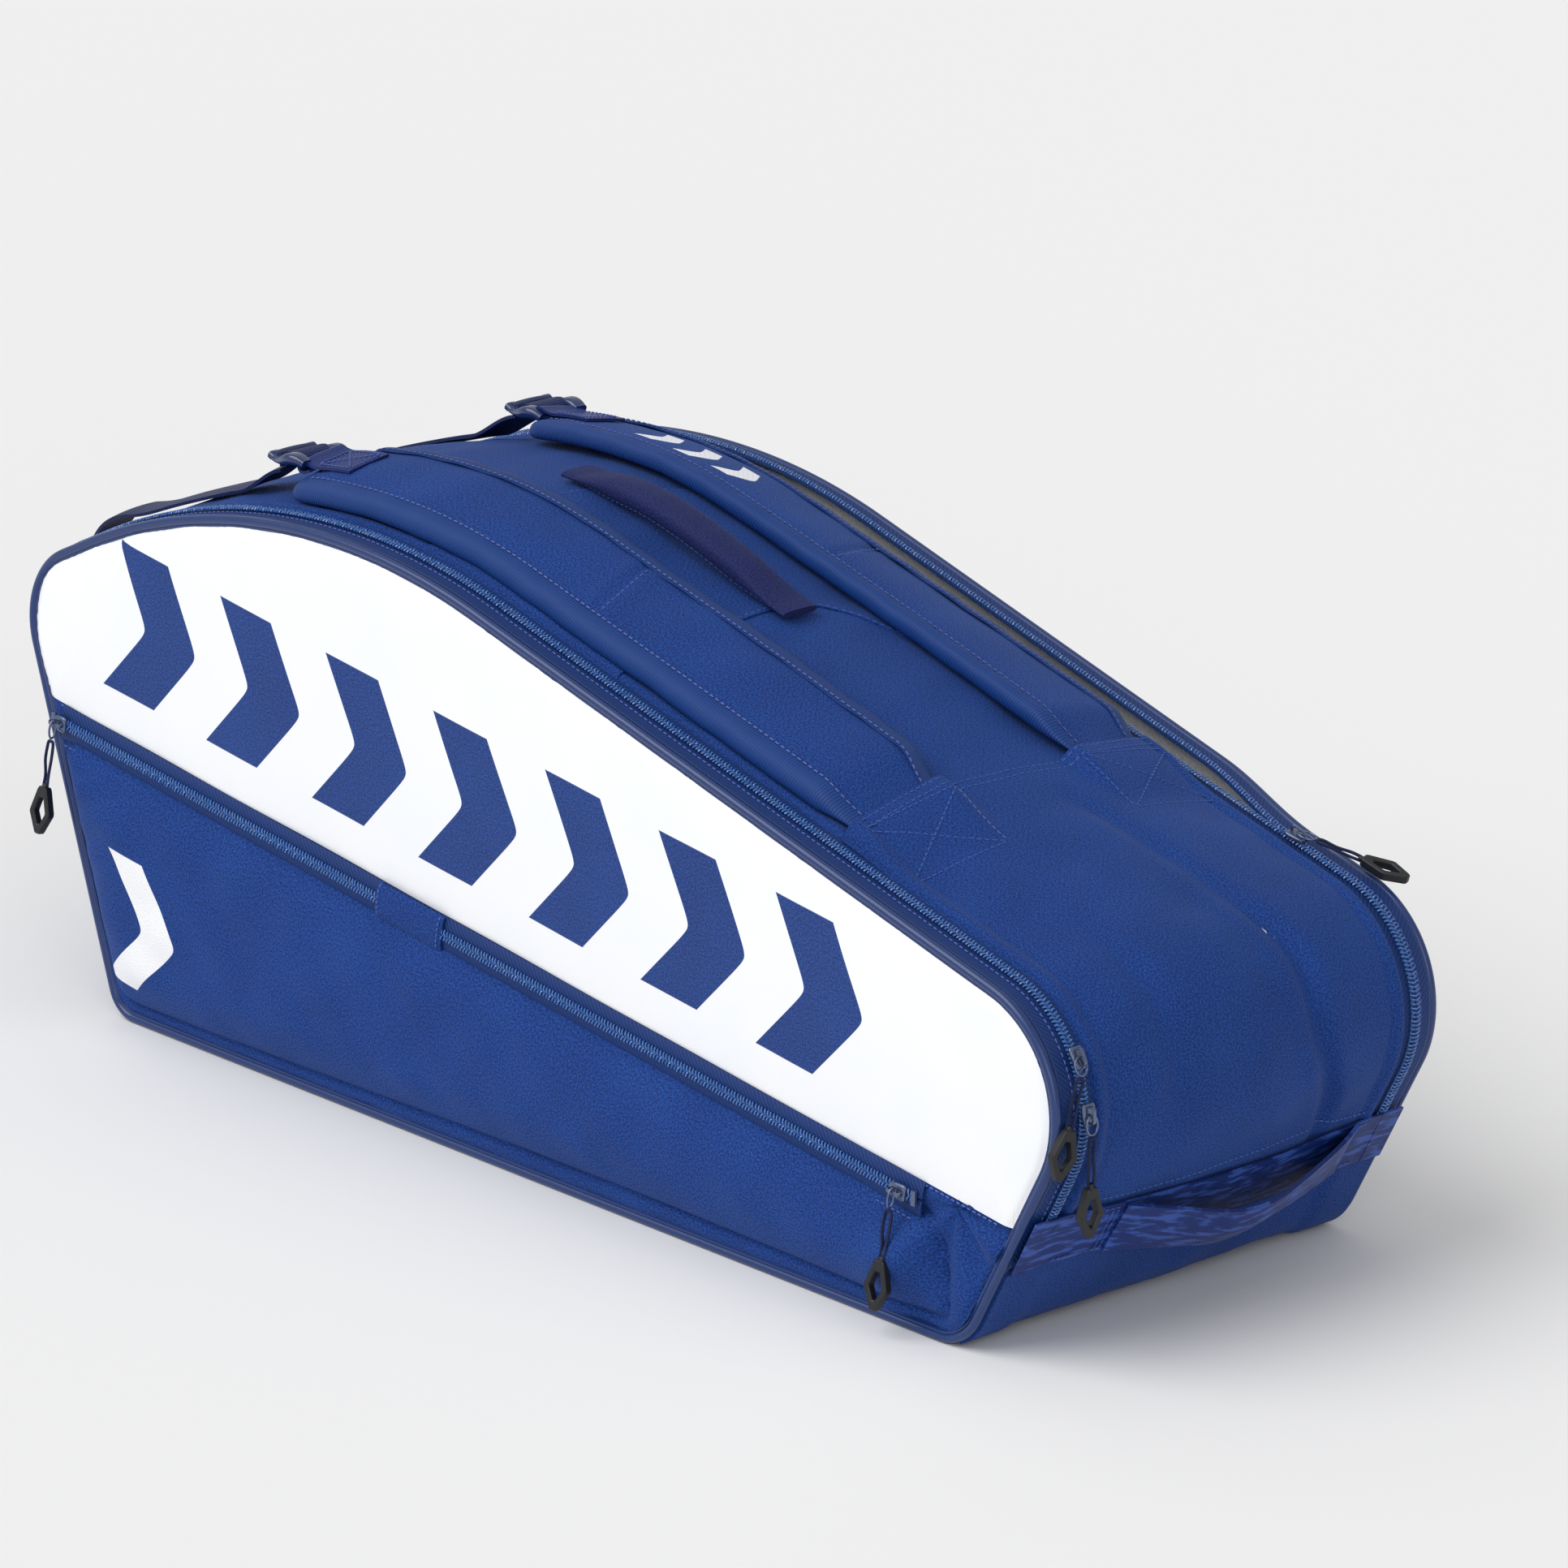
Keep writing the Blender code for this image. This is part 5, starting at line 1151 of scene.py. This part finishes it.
# ---------------------------------------------------------------- handles
def make_carry_handle():
    """Padded carry handle: flat sewn ends and a rolled grip between them."""
    low, high = top_at(HANDLE_LOW_X), top_at(HANDLE_HIGH_X)
    share = np.linspace(-0.06, 1.06, 150)
    arch = np.sin(math.pi * np.clip(share, 0, 1))
    grip = ease(np.minimum(share, 1 - share), 0, 0.22)
    place = high + (low - high) * share
    path = skin(place, -0.005 * arch, 0.0036 + (HANDLE_RISE - 0.005) * arch ** 1.2)
    upward = skin_normal(place, 0)
    half_wide, half_tall = 0.0118 - 0.0012 * grip, 0.002 + 0.0042 * grip
    angle = around(32)
    wrinkle = 1 + 0.02 * ripple(share * (low - high), 0, 0.012, 81)
    shape = Shape()
    shape.sweep(path, upward, joined(half_wide[:, None] * squared(np.cos(angle), 0.7),
                                     (half_tall * wrinkle)[:, None] * squared(np.sin(angle), 0.8)))
    handle = shape.finish("carry_handle_grip", HANDLE, "carry_handle", ["carry_handle"], "handle_fabric", 70)
    shape = Shape()
    for side in (-1, 1):
        sideways = np.array((0, side, 0))
        normals = unit(upward * 0.8 + sideways * 0.6)
        sewn = path + upward * (half_tall * 0.72)[:, None] + sideways * (half_wide * 0.8)[:, None]
        shape.stitches((sewn + normals * 0.0003)[6:-6], normals[6:-6], *FINE, 0.0003, 0.0003)
    shape.finish("carry_handle_stitching", LIGHT_THREAD, "carry_handle", slot="handle_fabric")


def make_end_handle():
    """Patterned webbing sewn across the low end, with a free grab loop bowed out from it."""
    middle = SIDE.where(lambda point: point[1] < END_HANDLE_HEIGHT, LOW_END_TOP, LOW_END_BOTTOM)
    place = middle + np.linspace(-1, 1, 13)[:, None] * END_WEBBING_HALF
    y = np.linspace(-GUSSET_HALF - 0.005, GUSSET_HALF + 0.005, 150)
    cloth("end_webbing_sewn", JACQUARD, "shell", skin(place, y, 0.003 + 0.0004 * ripple(place, y, 0.05, 91)),
          0.0012, ["end_webbing"], "webbing", 60, joined(y, place))
    for side, name in ((-1, "front"), (1, "rear")):
        out = np.linspace(GUSSET_HALF + 0.0054, ZIP_OUTER_Y + 0.0008, 12)
        point, normal = SIDE.at(place)
        edge = point + normal * 0.0034
        points = on_side(side, edge[..., 0], out, edge[..., 1])
        cloth("end_webbing_tip_" + name, JACQUARD, ("fold", side), points, 0.0012, (), "webbing", 60,
              joined(side * out, place), (1, 0, 0))

    share = np.linspace(0, 1, 130)
    y = END_HANDLE_FRONT_Y + (END_HANDLE_REAR_Y - END_HANDLE_FRONT_Y) * share
    arch = np.sin(math.pi * share)
    across = np.linspace(-1, 1, 13)[:, None]
    lift = END_HANDLE_LIFT + 0.0004 + END_HANDLE_BOW * np.clip(arch, 0, 1) ** 0.9 - 0.0036 * arch * across
    lift = lift + 0.0012 * np.cos(math.pi * across) * arch + 0.0009 * ripple(y, across * 0.02, 0.07, 92)
    spot = across * (END_WEBBING_HALF - 0.0015 * arch)
    cloth("grab_loop", JACQUARD, "end_handle", skin(middle + 0.01 * arch ** 2 + spot, y, lift), 0.002,
          ["end_handle"], "webbing", 60, joined(y, spot))
    shape = Shape()
    far = GUSSET_HALF - 0.002
    for edge in (-1, 1):
        place = middle + edge * (END_WEBBING_HALF - 0.0022)
        for start, end in ((-far, END_HANDLE_FRONT_Y), (END_HANDLE_REAR_Y, far)):
            shape.sew(place, np.linspace(start, end, 80), 0.0034, *FINE)
    place = middle + np.linspace(-1, 1, 40) * (END_WEBBING_HALF - 0.002)
    for back in (0.003, 0.0065):
        shape.sew(place, END_HANDLE_FRONT_Y - back, 0.0034, 0.003, 0.002)
    y = np.linspace(-0.104, 0.104, 220)
    place = middle - END_WEBBING_HALF - 0.0035 - 0.004 * between(y, -0.08, 0.06, 0.06, 0.1)
    shape.sew(place, y, 0.0013 + cover_relief(place, y), *FINE)
    shape.finish("end_stitching", THREAD, "shell", slot="webbing")


# ---------------------------------------------------------------- sliders and pulls
def slider_shape(matrix):
    """Zip slider: a waisted top plate with turned flanges and an arched bail."""
    shape = Shape()
    x = np.linspace(-0.0055, 0.0055, 15)[:, None]
    width = 0.004 - 0.001 * bump(x, -0.0055, 0.0035) + 0.0003 * bump(x, 0.0035, 0.003)
    angle = around(20)
    end = np.sqrt(np.clip(1 - np.abs(x / 0.00556) ** 6, 0, 1))
    half = SLIDER_THICKNESS / 2
    points = joined(x, width * squared(np.cos(angle), 0.5) * (0.75 + 0.25 * end),
                    half + half * (0.45 + 0.55 * end) * squared(np.sin(angle), 0.6))
    shape.grid(placed(matrix, points), closed=True, caps=True)
    top, bar = SLIDER_THICKNESS - 0.0006, SLIDER_THICKNESS + BAIL_BAR_HEIGHT
    x, z = smooth_path([(-0.004, top), (-0.0041, bar - 0.0012), (-0.003, bar), (0, bar + 0.0001),
                        (0.003, bar), (0.0041, bar - 0.0012), (0.004, top)], 6).T
    section = rounded_box(0.0005, 0.001, 0.0004, 2)
    shape.sweep(placed(matrix, joined(x, 0, z)), np.array(matrix)[:3, 1], section)
    return shape


def ring_shape(matrix, half_width):
    angle = around(40)
    shape = Shape()
    oval = joined(RING_LENGTH / 2 * (np.cos(angle) - 1), half_width * np.sin(angle), 0)
    shape.tube(placed(matrix, oval), RING_WIRE, 10, cyclic=True)
    return shape


def pull_shapes(matrix):
    """Cord looped through the ring, and the moulded tab on it: an open rhombus with a thick rim."""
    cord = Shape()
    end = -PULL_CORD_LENGTH
    path = smooth_path([
        (end - 0.001, -0.0016, 0), (end * 0.72, -0.0019, 0.0004), (end * 0.4, -0.0017, -0.0003),
        (end * 0.12, -0.0021, 0), (-0.0008, -0.0014, 0), (-0.00075, 0, 0), (-0.0008, 0.0014, 0),
        (end * 0.12, 0.0021, 0), (end * 0.4, 0.0022, 0.0003), (end * 0.72, 0.0014, -0.0004),
        (end - 0.001, 0.0016, 0)], 8)
    cord.tube(placed(matrix, path), 0.00082, 8)
    tab = Shape()
    tip = end - PULL_TAB_LENGTH
    middle = (end + tip) / 2
    outline = np.array([(end + 0.001, -0.003), (end + 0.001, 0.003), (middle - 0.001, 0.0078), (tip, 0.0016),
                        (tip, -0.0016), (middle - 0.001, -0.0078)])
    rim = []
    for before, corner, after in zip(np.roll(outline, 1, axis=0), outline, np.roll(outline, -1, axis=0)):
        rim += [corner + (before - corner) * share for share in (0.16, 0.06)]
        rim.append(corner * 0.94 + (before + after) * 0.03)
        rim += [corner + (after - corner) * share for share in (0.06, 0.16)]
    centre = np.array((middle, 0))
    rows = [joined(*(centre + (np.array(rim) - centre) * size).T, z) for size, z in (
        (1, -0.0016), (1, 0.0016), (0.95, 0.0022), (0.64, 0.0022), (0.56, 0.0016), (0.52, -0.0016),
        (0.64, -0.0022), (0.95, -0.0022))]
    tab.grid(placed(matrix, rows), closed=True, cyclic=True)
    knot = smooth_path([(end + 0.003, 0, 0), (end + 0.0005, 0, 0), (end - 0.002, 0, 0)], 5)
    gauge = [0.0017, 0.0024, 0.0027, 0.0028, 0.0029, 0.0028, 0.0028, 0.0027, 0.0026, 0.0024, 0.002]
    tab.tube(placed(matrix, knot), gauge, 10, squeeze=0.55)
    return cord, tab


def make_puller(prefix, label, places, half_width, apart):
    """Slider, ring and pull; apart says that the ring is a body of its own."""
    stem = "%s_%%s_%s" % (prefix, label)
    body = "%s_%s_" % (prefix, label)
    slider, ring = slider_shape(places[0]), ring_shape(places[1], half_width)
    slider.finish(stem % "slider_body", METAL, body + "slider", [stem % "slider"], "painted_metal")
    ring.finish(stem % "oval_ring", METAL, body + ("ring" if apart else "pull"), [stem % "ring"],
                "painted_metal")
    cord, tab = pull_shapes(places[2])
    cord.finish(stem % "pull_cord", CORD, body + "pull", slot="pull_plastic")
    tab.finish(stem % "pull_tab", CHARCOAL, body + "pull", [stem % "pull"], "pull_plastic", 30)


RING_END = Vector((-RING_LENGTH - RING_WIRE - 0.0003, 0, 0))


def make_main_puller(prefix, label, point, normal, upward, side, ring_turn, drop):
    """Slider on a main zip with its pull, placed as in the CAD."""
    origin, out = point + normal * SLIDER_LIFT, (normal[0], 0, normal[1])
    slider = frame_from((origin[0], side * ZIP_COIL_Y, origin[1]), (upward[0], 0, upward[1]), out)
    ring = slider @ Matrix.Translation((0, 0, SLIDER_THICKNESS + RING_LIFT)) @ Matrix.Rotation(
        math.radians(ring_turn), 4, "Z")
    pull = frame_from(ring @ RING_END, -Vector(drop), (normal[0], 0, max(normal[1], 0)))
    make_puller(prefix, label, (slider, ring, pull), 0.0036, False)


def make_pocket_puller(prefix, label, x, side):
    """Slider on a pocket zip, placed as in the CAD: ring and pull hang plumb."""
    face = PANEL_FACE + 0.0003 + 0.0016 + SLIDER_LIFT
    z = field_line(x, POCKET_ZIP_DROP)
    slider = frame_from((x, side * face, z), (1, 0, FIELD_LINE_SLOPE), (0, side, 0))
    down = Vector((0, side * math.tan(math.radians(9)), -1)).normalized()
    hook = slider @ Vector((0, 0, SLIDER_THICKNESS + BAIL_BAR_HEIGHT)) - down * 0.002
    ring = frame_from(hook, -down, (1, 0, 0))
    places = [slider, ring, frame_from(ring @ RING_END, -down, (0, side, 0))]
    if side > 0:
        pivot = Vector((0, PANEL_FACE, FOLD_HEIGHT))
        ajar = Matrix.Translation(pivot) @ Matrix.Rotation(-REAR_AJAR, 4, "X") @ Matrix.Translation(-pivot)
        places = [ajar @ place for place in places]
    make_puller(prefix, label, places, 0.0021, True)


def make_pullers():
    centre, radius = SIDE.pieces[6][3:5]
    for label, turn, ring_turn, lean in (("upper", 29, -26, -0.28), ("lower", 5, 0, 0)):
        normal = np.array((math.cos(math.radians(turn)), math.sin(math.radians(turn))))
        make_main_puller("front_zip", label, centre + normal * radius, normal, (-normal[1], normal[0]), -1,
                         ring_turn, (0, lean, -1))
    point, normal = SIDE.at(top_at(0.29))
    make_main_puller("rear_zip", "right", point, normal, (-normal[1], normal[0]), 1, 20,
                     (normal[1], 0.36, -normal[0]))
    point, normal = SIDE.at(SIDE.where(lambda point: point[1] > 0.12, 0.02, HIGH_END_TOP))
    make_main_puller("rear_zip", "left", point, normal, (normal[1], -normal[0]), 1, 0, (0, 0, -1))
    make_pocket_puller("pocket_zip", "left", -0.347, -1)
    make_pocket_puller("pocket_zip", "right", 0.275, -1)
    make_pocket_puller("rear_pocket", "right", 0.275, 1)


# ---------------------------------------------------------------- studio
def make_studio():
    """Pale floor, soft light and a camera at the photo's angle."""
    scene = bpy.context.scene

    def show(name, data):
        item = bpy.data.objects.new(name, data)
        scene.collection.objects.link(item)
        return item

    mesh = bpy.data.meshes.new("floor")
    reach = 12
    mesh.from_pydata([(-reach, -reach, 0), (reach, -reach, 0), (reach, reach, 0), (-reach, reach, 0)], [],
                     [(0, 1, 2, 3)])
    paint, sockets = look("floor_paint", 1, specular=0)
    sockets["Base Color"].default_value = (0.84, 0.84, 0.84, 1.0)
    mesh.materials.append(paint)
    floor = show("floor", mesh)

    world = bpy.data.worlds.new("studio")
    world.use_nodes = True
    world.node_tree.nodes["Background"].inputs["Color"].default_value = (1.0, 1.0, 1.0, 1.0)
    world.node_tree.nodes["Background"].inputs["Strength"].default_value = 0.55
    scene.world = world
    scene.view_settings.view_transform = "Standard"
    for name, towards, width, power in (("key", (-0.35, -0.75, 0.9), 50, 1.75),
                                        ("fill", (0.8, -0.6, 0.4), 40, 0.6)):
        lamp = bpy.data.lights.new(name, "SUN")
        lamp.energy = power
        lamp.angle = math.radians(width)
        show(name, lamp).rotation_euler = Vector(towards).to_track_quat("Z", "Y").to_euler()

    azimuth, elevation, roll, distance = math.radians(45.45), math.radians(17.82), math.radians(1.65), 4.57
    back = Vector((math.sin(azimuth) * math.cos(elevation), -math.cos(azimuth) * math.cos(elevation),
                   math.sin(elevation)))
    right = Vector((math.cos(azimuth), math.sin(azimuth), 0))
    upward = back.cross(right)
    matrix = Matrix((math.cos(roll) * right + math.sin(roll) * upward,
                     math.cos(roll) * upward - math.sin(roll) * right, back)).transposed().to_4x4()
    matrix.translation = Vector((0.05, 0, 0.19)) + back * distance
    lens = bpy.data.cameras.new("camera")
    lens.lens = 210.6
    lens.sensor_width = 36
    camera = show("camera", lens)
    camera.matrix_world = matrix
    scene.camera = camera


make_studio()
for direction, name in ((-1, "front"), (1, "rear")):
    make_side(direction, name)
    make_main_zip(direction, name)
    make_strap(direction, name)
make_cover()
make_base()
make_inside()
make_carry_handle()
make_end_handle()
make_pullers()
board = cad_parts["base_board"]
board.data.materials.clear()
board.data.materials.append(BOARD)
